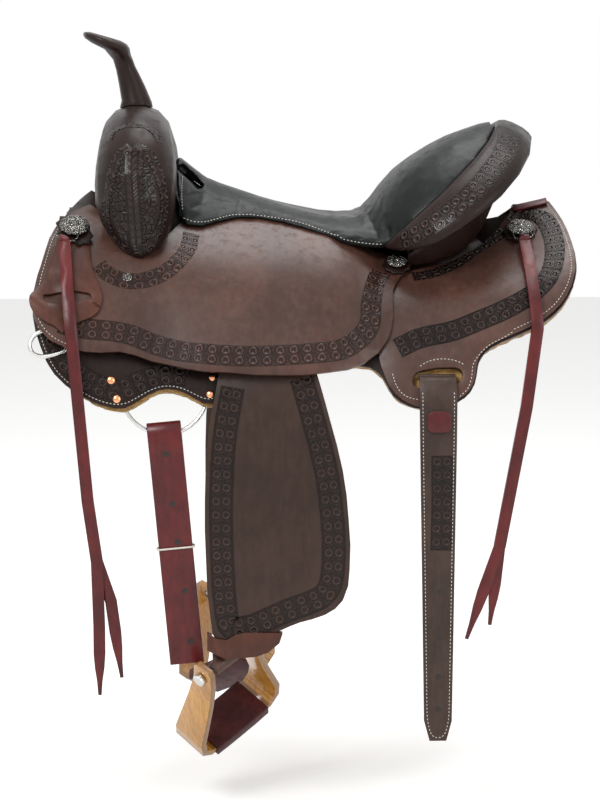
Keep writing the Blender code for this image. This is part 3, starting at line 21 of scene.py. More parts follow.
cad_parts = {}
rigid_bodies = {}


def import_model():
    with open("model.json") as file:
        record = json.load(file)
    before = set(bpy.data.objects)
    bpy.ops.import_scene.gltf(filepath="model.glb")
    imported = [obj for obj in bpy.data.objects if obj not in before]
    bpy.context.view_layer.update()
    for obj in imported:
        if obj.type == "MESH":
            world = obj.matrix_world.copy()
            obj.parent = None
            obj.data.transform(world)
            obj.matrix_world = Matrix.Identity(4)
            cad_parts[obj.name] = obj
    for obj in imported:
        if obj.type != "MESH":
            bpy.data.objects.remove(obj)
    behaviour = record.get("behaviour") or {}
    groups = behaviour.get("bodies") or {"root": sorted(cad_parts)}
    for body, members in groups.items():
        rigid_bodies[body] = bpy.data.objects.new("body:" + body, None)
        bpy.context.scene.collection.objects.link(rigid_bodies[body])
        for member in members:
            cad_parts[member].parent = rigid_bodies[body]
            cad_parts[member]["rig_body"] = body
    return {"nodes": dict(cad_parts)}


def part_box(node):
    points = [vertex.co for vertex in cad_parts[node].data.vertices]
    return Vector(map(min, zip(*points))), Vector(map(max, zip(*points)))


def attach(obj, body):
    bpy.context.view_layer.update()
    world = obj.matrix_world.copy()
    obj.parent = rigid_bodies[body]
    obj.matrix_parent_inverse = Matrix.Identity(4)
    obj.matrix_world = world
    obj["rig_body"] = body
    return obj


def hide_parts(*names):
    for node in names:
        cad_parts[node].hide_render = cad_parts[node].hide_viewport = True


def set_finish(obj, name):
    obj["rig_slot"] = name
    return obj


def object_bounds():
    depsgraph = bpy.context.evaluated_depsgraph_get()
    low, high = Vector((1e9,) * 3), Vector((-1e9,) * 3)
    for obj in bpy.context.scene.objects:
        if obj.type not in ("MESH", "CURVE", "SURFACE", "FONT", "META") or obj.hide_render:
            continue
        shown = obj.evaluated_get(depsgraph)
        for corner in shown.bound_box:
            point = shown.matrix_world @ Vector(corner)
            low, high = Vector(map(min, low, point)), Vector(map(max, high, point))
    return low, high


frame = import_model()
CAD_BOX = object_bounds()
LOG = logging.getLogger("trail_saddle")
MM = 0.001
OUTWARD = Vector((0.0, -0.94, 0.34))    # which way the near side's faces look
PITCH = 16.0                            # one repeat of the border tooling
STEP = 2.0                              # between the points of a line on the leather
OUTER_SHARE = 0.3                       # how much a face's normal has to look outwards
RIM_ANGLE = radians(45.0)               # a face's rim is where it meets its neighbours at more than this
Places = tuple[tuple[float, float], ...]    # each x and z, as seen from the side
Colour = tuple[float, float, float]
Line = list[Vector]
Object = bpy.types.Object
Socket = bpy.types.NodeSocket


class Body(Enum):
    """The moving bodies of the frame."""

    SADDLE = "saddle"
    FENDER_NEAR = "fender_near"
    FENDER_OFF = "fender_off"
    STIRRUP_NEAR = "stirrup_near"
    STIRRUP_OFF = "stirrup_off"
    LATIGO = "latigo"
    FLANK_BILLET = "flank_billet"
    FRONT_STRING = "front_string"
    REAR_STRING = "rear_string"


class Slot(Enum):
    """The record's material slots."""

    BROWN = "brown_leather"
    DARK = "dark_brown_leather"
    BLACK = "black_leather"
    BURGUNDY = "burgundy_latigo"
    RUSSET = "russet_leather"
    FLEECE = "fleece"
    OAK = "laminated_oak"
    RAW_WOOD = "raw_wood"
    STEEL = "stainless_steel"
    SILVER = "antique_silver"
    CORD = "white_cord"


# Shader groups

class Wiring:
    """Writes shader nodes into one node tree."""

    def __init__(self, tree: bpy.types.NodeTree) -> None:
        """Keeps the tree that the nodes go to."""
        self.tree = tree

    def feed(self, socket: Socket, value: object) -> None:
        """Links an input to another socket, or sets it to a value."""
        if isinstance(value, Socket):
            self.tree.links.new(value, socket)
        else:
            socket.default_value = value

    def add(self, kind: str, inputs: dict | None = None, **settings: object) -> bpy.types.Node:
        """Adds one node.

        Args:
            kind: The node's type name.
            inputs: A value or an output socket for each input, by name or index.
            settings: The node's own properties.

        Returns:
            The new node.
        """
        node = self.tree.nodes.new(kind)
        for name, value in settings.items():
            setattr(node, name, value)
        for name, value in (inputs or {}).items():
            self.feed(node.inputs[name], value)
        return node

    def maths(self, operation: str, *values: object) -> Socket:
        """One Math node on sockets or numbers."""
        return self.add("ShaderNodeMath", dict(enumerate(values)), operation=operation).outputs[0]

    def times(self, first: object, *rest: object) -> Socket:
        """The product of sockets or numbers."""
        for value in rest:
            first = self.maths("MULTIPLY", first, value)
        return first

    def plus(self, first: object, second: object) -> Socket:
        """The sum of two."""
        return self.maths("ADD", first, second)

    def less(self, first: object, second: object) -> Socket:
        """The first less the second."""
        return self.maths("SUBTRACT", first, second)

    def absolute(self, value: object) -> Socket:
        """A value without its sign."""
        return self.maths("ABSOLUTE", value)

    def apart(self, first: object, second: object) -> Socket:
        """How far two are apart."""
        return self.absolute(self.less(first, second))

    def ramp(self, value: object, low: float, high: float, start: float = 0.0, end: float = 1.0) -> Socket:
        """A smooth step of a value from start to end, between low and high."""
        span = {"Value": value, "From Min": low, "From Max": high, "To Min": start, "To Max": end}
        return self.add("ShaderNodeMapRange", span, interpolation_type="SMOOTHSTEP").outputs["Result"]

    def mix(self, share: Socket, first: object, second: object) -> Socket:
        """A mix of two colours or colour sockets."""
        node = self.add("ShaderNodeMix", data_type="RGBA")
        for name, value in (("Factor", share), ("A", first), ("B", second)):
            socket = next(s for s in node.inputs if s.name == name and s.enabled)
            self.feed(socket, (*value, 1.0) if isinstance(value, tuple) else value)
        return next(s for s in node.outputs if s.enabled)

    def noise(self, vector: object, scale: object, detail: float = 3.0, rough: float = 0.55) -> Socket:
        """The value of a noise texture."""
        inputs = {"Vector": vector, "Scale": scale, "Detail": detail, "Roughness": rough}
        return self.add("ShaderNodeTexNoise", inputs).outputs["Fac"]

    def cells(self, vector: object, scale: object, feature: str = "SMOOTH_F1", **more: float) -> Socket:
        """The distance that a texture of cells gives."""
        inputs = {"Vector": vector, "Scale": scale, **more}
        return self.add("ShaderNodeTexVoronoi", inputs, feature=feature).outputs["Distance"]

    def stretched(self, vector: object, scale: tuple[float, float, float]) -> Socket:
        """Coordinates at another scale on each axis."""
        return self.add("ShaderNodeMapping", {"Vector": vector, "Scale": scale}).outputs[0]

    def axes(self, vector: object) -> bpy.types.bpy_prop_collection:
        """A vector's X, Y and Z."""
        return self.add("ShaderNodeSeparateXYZ", {"Vector": vector}).outputs

    def watched(self) -> Socket:
        """One where the camera looks, by itself or by a glossy surface."""
        path = self.add("ShaderNodeLightPath").outputs
        return self.maths("MAXIMUM", path["Is Camera Ray"], path["Is Glossy Ray"])


class ShaderGroup(Wiring):
    """A shader node group with named sockets, built once."""

    made: dict[str, bpy.types.NodeTree] = {}

    def __init__(self, name: str, *outputs: str, **inputs: float | tuple[float, ...]) -> None:
        """Makes the group and its sockets, with a Vector as the first input.

        Args:
            name: The group's name.
            outputs: The outputs' names. One called Color is a colour, the others are numbers.
            inputs: The default value of each other input, a number or a colour.
        """
        super().__init__(bpy.data.node_groups.new(name, "ShaderNodeTree"))
        self.made[name] = self.tree
        sockets = self.tree.interface
        sockets.new_socket("Vector", in_out="INPUT", socket_type="NodeSocketVector")
        for key, value in inputs.items():
            kind = "Color" if isinstance(value, tuple) else "Float"
            sockets.new_socket(key, in_out="INPUT", socket_type=f"NodeSocket{kind}").default_value = value
        for key in outputs:
            kind = "Color" if key == "Color" else "Float"
            sockets.new_socket(key, in_out="OUTPUT", socket_type=f"NodeSocket{kind}")
        self.take = self.add("NodeGroupInput").outputs
        self.where = self.take["Vector"]
        self.exit = self.add("NodeGroupOutput")

    def put(self, **results: Socket) -> None:
        """Links the group's outputs."""
        for name, socket in results.items():
            self.feed(self.exit.inputs[name], socket)


def build_grain() -> None:
    """Leather grain: fine pebbles and pores."""
    w = ShaderGroup("leather_grain", "Height", "Wear", Pebble=700.0)
    cells = w.cells(w.where, w.take["Pebble"])
    pores = w.noise(w.where, 90.0, 6.0, 0.62)
    w.put(Height=w.plus(w.times(cells, 0.45), pores), Wear=w.ramp(pores, 0.42, 0.72))


def build_drift() -> None:
    """Slow changes of dye over a hide."""
    w = ShaderGroup("dye_drift", "Color", Light=(0.1, 0.1, 0.1, 1.0), Deep=(0.0, 0.0, 0.0, 1.0), Size=9.0)
    broad = w.noise(w.where, w.take["Size"], 5.0, 0.65)
    streaks = w.noise(w.stretched(w.where, (1.0, 1.0, 0.22)), 150.0, 4.0, 0.6)
    share = w.ramp(w.plus(w.times(broad, 0.7), w.times(streaks, 0.3)), 0.36, 0.66)
    w.put(Color=w.mix(share, w.take["Deep"], w.take["Light"]))


def build_border() -> None:
    """Border tooling on a band's own map: two rows of rings with a dot, diamonds between, and incised edge lines.

    The map runs along the band and across it from its middle, both in repeats of the pattern, and so do all sizes.
    """
    row, trench, ring, diamond, margins, free = 0.37, 0.385, 0.25, 0.2, (0.06, 0.17), 0.2
    w = ShaderGroup("border_tooling", "Height", "Ink", Half=0.94)
    place = w.axes(w.where)
    along, across = w.less(w.maths("FRACT", place["X"]), 0.5), w.absolute(place["Y"])
    edge, off = w.less(w.take["Half"], across), w.less(across, row)
    radius = w.maths("SQRT", w.plus(w.times(along, along), w.times(off, off)))
    spread = w.plus(w.less(0.5, w.absolute(along)), across)
    dots = w.ramp(radius, 0.09, 0.17)
    trenches = w.ramp(w.apart(radius, trench), 0.035, 0.085)
    rings = w.ramp(w.apart(radius, ring), 0.02, 0.13, 1.0, 0.62)
    diamonds = w.ramp(w.apart(spread, diamond), 0.03, 0.075)
    pips = w.ramp(spread, 0.05, 0.1)
    outside = w.times(w.ramp(radius, 0.38, 0.44), w.ramp(spread, 0.2, 0.26), w.ramp(edge, free, 0.24))
    matt = w.ramp(w.noise(w.where, 26.0, 2.0), 0.3, 0.7, 0.25, 0.6)
    marks = w.times(dots, trenches, rings, diamonds, pips, w.less(1.0, w.times(outside, matt)))
    lines = w.times(*(w.ramp(w.apart(edge, margin), 0.018, 0.05) for margin in margins))
    within = w.maths("GREATER_THAN", edge, free)
    height = w.times(w.plus(w.times(marks, within), w.less(1.0, within)), lines)
    # The second output, one less the height, darkens the recesses in colour: partly dark stain, partly painted shade.
    w.put(Height=height, Ink=w.less(1.0, height))


def build_panel() -> None:
    """Deep carving over a wide panel: a stripe of pointed leaves down its middle, curled leaves on both sides."""
    leaf_scale, curl_radius, margins = 1.9, 0.24, (0.0, 0.11)
    w = ShaderGroup("panel_carving", "Height", "Ink", Half=0.42)
    place, half = w.axes(w.where), w.take["Half"]
    across = w.absolute(place["Y"])
    chevron = w.maths("FRACT", w.plus(w.times(place["X"], 1.8), w.times(across, 1.6)))
    stripe = w.times(w.ramp(chevron, 0.0, 0.5, 0.05, 1.0), w.ramp(across, 0.02, 0.07))
    leaf, rings = (w.cells(w.where, leaf_scale, feature) for feature in ("DISTANCE_TO_EDGE", "F1"))
    flank = w.times(w.ramp(leaf, 0.02, 0.13), w.ramp(w.apart(rings, curl_radius), 0.02, 0.09, 0.25, 1.0))
    outside = w.maths("GREATER_THAN", across, half)
    carved = w.plus(w.times(flank, outside), w.times(stripe, w.less(1.0, outside)))
    for margin in margins:
        carved = w.times(carved, w.ramp(w.apart(w.less(across, margin), half), 0.015, 0.05))
    # The second output, one less the height, darkens the recesses in colour: partly dark stain, partly painted shade.
    w.put(Height=carved, Ink=w.less(1.0, carved))


def build_handling() -> None:
    """Marks of handling on metal: fine scratches and dull patches."""
    w = ShaderGroup("metal_handling", "Rough", "Height")
    scratch = w.noise(w.stretched(w.where, (60.0, 900.0, 900.0)), 1.0, 3.0, 0.7)
    patch = w.noise(w.where, 60.0, 3.0)
    w.put(Rough=w.ramp(w.plus(w.times(scratch, 0.5), patch), 0.5, 1.1, 0.14, 0.38), Height=scratch)


# Finishes

def darker(colour: Colour, share: float) -> Colour:
    """A share of a colour's strength."""
    return tuple(value * share for value in colour)


class Finish(Wiring):
    """A material with its shader, its coordinates and its groups."""

    def __init__(self, name: str) -> None:
        """Makes the material and keeps its Principled shader."""
        self.material = bpy.data.materials.new(name)
        self.material.use_nodes = True
        super().__init__(self.material.node_tree)
        self.shader = self.tree.nodes["Principled BSDF"]
        self.where = self.add("ShaderNodeTexCoord").outputs["Object"]

    def own(self) -> Socket:
        """The piece's own map."""
        return self.add("ShaderNodeUVMap", uv_map="pattern").outputs["UV"]

    def group(self, name: str, **inputs: object) -> bpy.types.bpy_prop_collection:
        """The outputs of a shared group, at the object's coordinates unless it is given others."""
        return self.add("ShaderNodeGroup", {"Vector": self.where, **inputs}, node_tree=ShaderGroup.made[name]).outputs

    def dye(self, light: Colour, deep: Colour, size: float) -> Socket:
        """A colour that drifts between two."""
        return self.group("dye_drift", Light=(*light, 1.0), Deep=(*deep, 1.0), Size=size)["Color"]

    def set(self, **values: object) -> None:
        """Sets or links the shader's sockets, with _ for a blank in their names."""
        for key, value in values.items():
            self.feed(self.shader.inputs[key.replace("_", " ")], value)

    def bump(self, height: Socket, strength: float, distance: float) -> None:
        """Adds a bump over the ones that are there."""
        normal = self.shader.inputs["Normal"]
        inputs = {"Height": height, "Strength": strength, "Distance": distance}
        if normal.is_linked:
            inputs["Normal"] = normal.links[0].from_socket
        self.feed(normal, self.add("ShaderNodeBump", inputs).outputs["Normal"])


@dataclass(frozen=True)
class Surface:
    """How something looks."""

    name: str

    def wire(self, finish: Finish) -> None:
        """Wires the surface's own shader."""
        raise NotImplementedError

    def make(self) -> bpy.types.Material:
        """Builds the material."""
        finish = Finish(self.name)
        self.wire(finish)
        return finish.material


@dataclass(frozen=True)
class LeatherLook(Surface):
    """Leather with its dye and grain, and tooling on bands and panels."""

    light: Colour
    deep: Colour
    slot: Slot
    roughness: float = 0.42
    size: float = 9.0
    grain: float = 0.25
    pebble: float = 700.0
    gloss: float = 0.28
    tooling: str = ""
    half: float = 0.94
    # How far the tooling's recesses darken: partly dark stain, partly painted shade.
    stain_and_shade: float = 0.62

    def wire(self, finish: Finish) -> None:
        """Wires dye, grain and any tooling, with dark stain and painted shade in its recesses."""
        colour = finish.dye(self.light, self.deep, self.size)
        grain = finish.group("leather_grain", Pebble=self.pebble)
        rough = finish.ramp(grain["Wear"], 0.0, 1.0, self.roughness - 0.05, self.roughness + 0.09)
        if self.tooling:
            tooling = finish.group(self.tooling, Vector=finish.own(), Half=self.half)
            stain_and_shade = tooling["Ink"]
            # The recesses darken towards the deep colour: partly dark stain, partly painted shade.
            colour = finish.mix(finish.times(stain_and_shade, self.stain_and_shade), colour, darker(self.deep, 0.2))
            rough = finish.less(rough, finish.times(stain_and_shade, 0.08))
            finish.bump(tooling["Height"], 1.0, 0.0022)
        finish.set(Base_Color=colour, Roughness=rough, Specular_IOR_Level=self.gloss)
        finish.bump(grain["Height"], self.grain, 0.0004)


@dataclass(frozen=True)
class MetalLook(Surface):
    """Metal, with dirt in its recesses where it is engraved."""

    colour: Colour
    slot: Slot
    engraving: float = 0.0

    def wire(self, finish: Finish) -> None:
        """Wires the engraving and the marks of handling."""
        marks, colour = finish.group("metal_handling"), (*self.colour, 1.0)
        if self.engraving:
            clean = finish.ramp(finish.cells(finish.where, 520.0, "DISTANCE_TO_EDGE"), 0.06, 0.30)
            colour = finish.mix(clean, darker(self.colour, 0.04), self.colour)
            finish.bump(clean, self.engraving, 0.0006)
        finish.set(Base_Color=colour, Roughness=marks["Rough"], Metallic=1.0)
        finish.bump(marks["Height"], 0.06, 0.0002)


@dataclass(frozen=True)
class WoodLook(Surface):
    """Wood with a grain along it, and glue lines between layers where it is laminated."""

    light: Colour
    dark: Colour
    slot: Slot
    layers: float = 0.0
    coat: float = 0.0
    roughness: float = 0.5

    def wire(self, finish: Finish) -> None:
        """Wires the fibres, the glue lines and the varnish."""
        fibres = finish.noise(finish.stretched(finish.where, (240.0, 420.0, 34.0)), 1.0, 5.0, 0.65)
        broad = finish.noise(finish.where, 26.0, 2.0)
        share = finish.ramp(finish.plus(finish.times(fibres, 0.75), finish.times(broad, 0.3)), 0.36, 0.68)
        colour = finish.mix(share, self.dark, self.light)
        if self.layers:
            step = finish.times(finish.axes(finish.own())["Y"], self.layers)
            glue = finish.ramp(finish.apart(finish.maths("FRACT", step), 0.5), 0.38, 0.47, 0.0, 0.75)
            colour = finish.mix(glue, colour, darker(self.dark, 0.35))
        rough = finish.ramp(fibres, 0.3, 0.7, self.roughness - 0.06, self.roughness + 0.08)
        finish.set(Base_Color=colour, Roughness=rough, Coat_Weight=self.coat, Coat_Roughness=0.12)
        finish.bump(fibres, 0.12, 0.0003)


@dataclass(frozen=True)
class WoolLook(Surface):
    """Sheepskin: matted golden curls."""

    light: Colour
    deep: Colour
    slot: Slot

    def wire(self, finish: Finish) -> None:
        """Wires the curls, with painted shade between them, and the single hairs."""
        dye = finish.dye(self.light, self.deep, 40.0)
        curls = finish.cells(finish.where, 190.0, Detail=2.0)
        hairs = finish.noise(finish.where, 900.0, 4.0, 0.7)
        height = finish.plus(finish.times(curls, -1.0), finish.times(hairs, 0.35))
        # Painted shade: the colour goes towards the deep colour in the gaps between the curls.
        colour = finish.mix(finish.ramp(curls, 0.15, 0.75, 0.0, 0.7), dye, self.deep)
        finish.set(Base_Color=colour, Roughness=0.95, Sheen_Weight=0.35, Sheen_Roughness=0.6)
        finish.bump(height, 0.9, 0.002)


@dataclass(frozen=True)
class ThreadLook(Surface):
    """Twisted thread or string."""

    colour: Colour
    slot: Slot = Slot.CORD

    def wire(self, finish: Finish) -> None:
        """Wires the twist."""
        twist = finish.noise(finish.where, 1400.0, 2.0)
        colour = finish.mix(finish.ramp(twist, 0.35, 0.65), darker(self.colour, 0.72), self.colour)
        finish.set(Base_Color=colour, Roughness=0.8)
        finish.bump(twist, 0.3, 0.0003)


BROWN_LIGHT, BROWN_DEEP = (0.094, 0.042, 0.029), (0.048, 0.021, 0.015)
DARK_LIGHT, DARK_DEEP = (0.021, 0.0095, 0.007), (0.009, 0.0042, 0.0034)


class Look(Enum):
    """The finishes of the saddle."""

    SKIRTING = LeatherLook("skirting_leather", BROWN_LIGHT, BROWN_DEEP, Slot.BROWN, 0.38, gloss=0.36)
    FENDER = LeatherLook("fender_leather", (0.052, 0.026, 0.018), (0.026, 0.013, 0.009), Slot.BROWN, 0.42)
    FENDER_BORDER = LeatherLook("fender_border_leather", (0.052, 0.026, 0.018), (0.028, 0.014, 0.010), Slot.BROWN, 0.36,
                                tooling="border_tooling", stain_and_shade=0.78, gloss=0.26)
    DARK = LeatherLook("dark_carved_leather", DARK_LIGHT, DARK_DEEP, Slot.DARK, 0.40, grain=0.35, gloss=0.2)
    BORDER = LeatherLook("tooled_border_leather", (0.086, 0.039, 0.028), (0.046, 0.021, 0.015), Slot.BROWN, 0.34,
                         tooling="border_tooling", stain_and_shade=0.7, gloss=0.26)
    DARK_BORDER = LeatherLook("dark_tooled_border_leather", (0.040, 0.019, 0.014), (0.020, 0.010, 0.008), Slot.DARK,
                              0.32, tooling="border_tooling", stain_and_shade=0.8, gloss=0.26)
    PANEL = LeatherLook("panel_carved_leather", (0.030, 0.014, 0.010), (0.015, 0.007, 0.005), Slot.DARK, 0.27,
                        tooling="panel_carving", half=0.42, stain_and_shade=0.93, gloss=0.32)
    BLACK = LeatherLook("black_seat_leather", (0.0085, 0.0105, 0.0098), (0.005, 0.0062, 0.006), Slot.BLACK, 0.40,
                        size=6.0, grain=0.18, pebble=900.0, gloss=0.2)
    BILLET = LeatherLook("black_brown_billet_leather", (0.062, 0.036, 0.026), (0.026, 0.015, 0.012), Slot.BLACK, 0.45)
    BURGUNDY = LeatherLook("oxblood_latigo", (0.135, 0.013, 0.013), (0.060, 0.006, 0.007), Slot.BURGUNDY, 0.36,
                           size=14.0, grain=0.3, gloss=0.34)
    RUSSET = LeatherLook("russet_leather", (0.105, 0.034, 0.020), (0.050, 0.017, 0.011), Slot.RUSSET, 0.40)
    TREAD = LeatherLook("maroon_tread_leather", (0.075, 0.014, 0.016), (0.034, 0.007, 0.008), Slot.BURGUNDY, 0.48,
                        size=30.0, grain=0.5)
    OAK = WoodLook("varnished_laminated_oak", (0.66, 0.33, 0.065), (0.42, 0.17, 0.025), Slot.OAK, 5.0, 0.7, 0.36)
    RAW_WOOD = WoodLook("tree_wood", (0.55, 0.42, 0.27), (0.38, 0.26, 0.15), Slot.RAW_WOOD, roughness=0.75)
    STEEL = MetalLook("stainless_steel", (0.62, 0.62, 0.60), Slot.STEEL)
    SILVER = MetalLook("antique_silver", (0.52, 0.50, 0.46), Slot.SILVER, 0.9)
    COPPER = MetalLook("copper_rivet", (0.80, 0.38, 0.20), Slot.SILVER)
    WOOL = WoolLook("golden_wool", (0.74, 0.50, 0.20), (0.42, 0.22, 0.06), Slot.FLEECE)
    WHITE_THREAD = ThreadLook("white_thread", (0.78, 0.76, 0.70))
    # Dark thread, also used as the painted shade in punched holes.
    DARK_THREAD_AND_HOLE_SHADE = ThreadLook("dark_thread_and_hole_shade", (0.030, 0.022, 0.018), Slot.DARK)
    STRING = ThreadLook("cotton_string", (0.80, 0.76, 0.68))


class Paint:
    """Makes each look's material once, and gives it to pieces."""

    made: dict[Look, bpy.types.Material] = {}

    @classmethod
    def give(cls, piece: Object, look: Look) -> None:
        """Gives a piece, or a frame's node, one look.

        Args:
            piece: The object.
            look: Its finish.
        """
        if look not in cls.made:
            cls.made[look] = look.value.make()
        piece.data.materials.clear()
        piece.data.materials.append(cls.made[look])
        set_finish(piece, look.value.slot.value)


# Shapes

def placed(name: str, data: bpy.types.ID) -> Object:
    """A new object in the scene."""
    thing = bpy.data.objects.new(name, data)
    bpy.context.scene.collection.objects.link(thing)
    return thing


def meshed(name: str, work: bmesh.types.BMesh) -> Object:
    """A new object in the scene from a bmesh, which is freed."""
    mesh = bpy.data.meshes.new(name)
    work.to_mesh(mesh)
    work.free()
    return placed(name, mesh)


def merged(node: str) -> bmesh.types.BMesh:
    """A welded copy of the mesh of a frame node or a piece.

    Args:
        node: Its name.

    Returns:
        The copy, which the caller frees.
    """
    work = bmesh.new()
    work.from_mesh((frame["nodes"].get(node) or bpy.data.objects[node]).data)
    bmesh.ops.remove_doubles(work, verts=work.verts, dist=2e-6)
    bmesh.ops.recalc_face_normals(work, faces=work.faces)
    return work


def add_piece(name: str, work: bmesh.types.BMesh, look: Look, body: Body, node: str = "",
              sharp: float = 40.0) -> Object:
    """Turns a bmesh into a piece that rides on a body.

    Args:
        name: The piece's name.
        work: Its bmesh, which is freed.
        look: Its finish.
        body: The body that it rides on.
        node: The node that it stands for, if any.
        sharp: Edges over this angle, in degrees, stay sharp.

    Returns:
        The new object.
    """
    piece = meshed(name, work)
    piece.data.shade_smooth()
    piece.data.set_sharp_from_angle(angle=radians(sharp))
    Paint.give(piece, look)
    if node:
        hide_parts(node)
    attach(piece, body.value)
    LOG.info("%s: %d faces on %s", name, len(piece.data.polygons), body.value)
    return piece


def rounded(node: str, look: Look, rounding: float = 0.9, body: Body = Body.SADDLE,
            angle: float = 50.0) -> Object:
    """A frame node with rounded edges and smooth faces.

    Args:
        node: The node that it stands for.
        look: Its finish.
        rounding: The radius of the edges.
        body: The body that it rides on.
        angle: Edges over this many degrees are rounded.

    Returns:
        The new piece.
    """
    work = merged(node)
    edges = [e for e in work.edges if len(e.link_faces) == 2 and e.calc_face_angle(0.0) > radians(angle)]
    bmesh.ops.bevel(work, geom=edges, offset=rounding * MM, offset_type="OFFSET", segments=2, profile=0.5,
                    affect="EDGES", clamp_overlap=True, material=-1)
    bmesh.ops.remove_doubles(work, verts=work.verts, dist=1e-5)
    return add_piece(f"{node}_dressed", work, look, body, node, 60.0)


def drawn(node: str) -> Object:
    """A frame node of bent steel wire, drawn round."""
    piece = add_piece(f"{node}_drawn", merged(node), Look.STEEL, Body.SADDLE, node, 180.0)
    round_off = piece.modifiers.new("round_wire", "SUBSURF")
    round_off.levels = round_off.render_levels = 2
    return piece


class Face:
    """The outer face of a node, for what is sewn, cut or laid on it."""

    def __init__(self, node: str, outward: Vector = OUTWARD) -> None:
        """Keeps the faces that look outwards and the sharp edges round them.

        Args:
            node: The node, or a piece.
            outward: Which way the face looks.
        """
        work = merged(node)
        work.verts.ensure_lookup_table()
        self.points = [v.co.copy() for v in work.verts]
        self.links: dict[int, list[tuple[int, float]]] = {}
        faces = [f for f in work.faces if f.normal.dot(outward) > OUTER_SHARE]
        outer = set(faces)
        for edge in work.edges:
            if len(edge.link_faces) == 2 and sum(f in outer for f in edge.link_faces) == 1 and \
                    edge.calc_face_angle(0.0) > RIM_ANGLE:
                a, b = (v.index for v in edge.verts)
                self.links.setdefault(a, []).append((b, edge.calc_length()))
                self.links.setdefault(b, []).append((a, edge.calc_length()))
        self.tree = BVHTree.FromPolygons(self.points, [[v.index for v in f.verts] for f in faces])
        self.outward, self.side = outward, -1.0 if outward.y < 0 else 1.0
        work.free()

    def near(self, x: float, z: float) -> int:
        """The rim's vertex nearest to a place seen from the side, in millimetres."""
        return min(self.links, key=lambda i: (self.points[i].x - x * MM) ** 2 + (self.points[i].z - z * MM) ** 2)

    def rim(self, *stops: tuple[float, float]) -> Line:
        """The rim's line through some stops, by the shortest way between each two.

        Args:
            stops: Places (x, z) seen from the side.

        Returns:
            The rim's points in order, evenly spaced.
        """
        line: Line = []
        marks = [self.near(*stop) for stop in stops]
        for start, goal in zip(marks, marks[1:]):
            heap, known = [(0.0, start, -1)], {}
            while heap and goal not in known:
                far, at, before = heapq.heappop(heap)
                if at in known:
                    continue
                known[at] = before
                for after, length in self.links[at]:
                    if after not in known:
                        heapq.heappush(heap, (far + length, after, at))
            if goal not in known:
                LOG.warning("no rim from %s to %s", stops[0], stops[-1])
                continue
            back, at = [], goal
            while at != -1:
                back.append(self.points[at])
                at = known[at]
            line.extend(back[::-1][1 if line else 0:])
        return even(line)

    def lift(self, point: Vector, height: float = 0.0) -> tuple[Vector, Vector]:
        """The face's point nearest to a place, raised by a height in metres, and the normal there."""
        place, normal, _, _ = self.tree.find_nearest(point)
        if normal.dot(self.outward) < 0:
            normal = -normal
        return place + normal * height, normal

    def hit(self, x: float, z: float) -> Vector | None:
        """What a straight look from the side meets at a place (x, z), in millimetres."""
        return self.tree.ray_cast(Vector((x * MM, self.side, z * MM)), Vector((0.0, -self.side, 0.0)))[0]

    def seen(self, x: float, z: float) -> Vector:
        """The face's point straight behind a place (x, z) seen from the side, in millimetres."""
        return self.hit(x, z) or self.lift(Vector((x * MM, self.side * 0.15, z * MM)))[0]

    def lower_edge(self, x: float, z: float, margin: float, step: float = 0.5) -> Vector:
        """A point a margin above the face's lower edge, found by going down from a place, in millimetres."""
        while self.hit(x, z):
            z -= step
        return self.seen(x, z + margin)

    def curve(self, places: Places, reach: int = 0) -> Line:
        """A smooth line on the face through some places, eased over some neighbours each way."""
        return eased(curve_through([self.seen(*place) for place in places]), reach)

    def sideways(self, line: Line) -> Line:
        """The direction across a line on the face, at each of its points."""
        last = len(line) - 1
        return [self.lift(point)[1].cross((line[min(i + 1, last)] - line[max(i - 1, 0)]).normalized()).normalized()
                for i, point in enumerate(line)]

    def inset(self, line: Line, depth: float, reach: int = 4) -> Line:
        """The rim's line moved in over the face.

        Args:
            line: The rim's points, evenly spaced.
            depth: How far in, in millimetres.
            reach: How many neighbours smooth each point.

        Returns:
            The moved line, on the face.
        """
        line = eased(line, reach)
        sides = self.sideways(line)
        vote, probe_reach, off_face = 0, 4.0 * MM, 1.5 * MM
        for point, across in zip(line, sides):
            for sign in (1, -1):
                probe = point + across * sign * probe_reach
                vote += sign * (-1 if (self.lift(probe)[0] - probe).length > off_face else 1)
        turn = 1 if vote > 0 else -1
        return eased([self.lift(point + across * turn * depth * MM)[0] for point, across in zip(line, sides)], reach)


def even(line: Line, step: float = STEP) -> Line:
    """A line's points again, at an even step in millimetres."""
    kept = [line[0], *(b for a, b in zip(line, line[1:]) if (b - a).length > 1e-7)]
    run = lengths(kept)
    count = max(2, ceil(run[-1] / (step * MM)))
    out, index = [], 0
    for i in range(count + 1):
        goal = run[-1] * i / count
        while index < len(kept) - 2 and run[index + 1] < goal:
            index += 1
        span = run[index + 1] - run[index]
        out.append(kept[index].lerp(kept[index + 1], (goal - run[index]) / span if span > 1e-9 else 0.0))
    return out


def lengths(line: Line) -> list[float]:
    """How far along a line each of its points is."""
    run = [0.0]
    for a, b in zip(line, line[1:]):
        run.append(run[-1] + (b - a).length)
    return run


def eased(line: Line, reach: int) -> Line:
    """A line with its kinks smoothed over some neighbours each way, its ends kept."""
    out = []
    for i in range(len(line)):
        r = min(reach, i, len(line) - 1 - i)
        out.append(sum(line[i - r:i + r + 1], Vector()) / (2 * r + 1))
    return out


def curve_through(points: Line) -> Line:
    """A smooth, even line through some points."""
    ends = [points[0] * 2 - points[1], *points, points[-1] * 2 - points[-2]]
    out, parts = [], 12
    for a, b, c, d in zip(ends, ends[1:], ends[2:], ends[3:]):
        for i in range(parts):
            t = i / parts
            out.append(0.5 * (2 * b + (c - a) * t + (2 * a - 5 * b + 4 * c - d) * t * t
                              + (3 * b - 3 * c + d - a) * t ** 3))
    out.append(points[-1].copy())
    return even(out)


# What is sewn, cut and laid on the leather

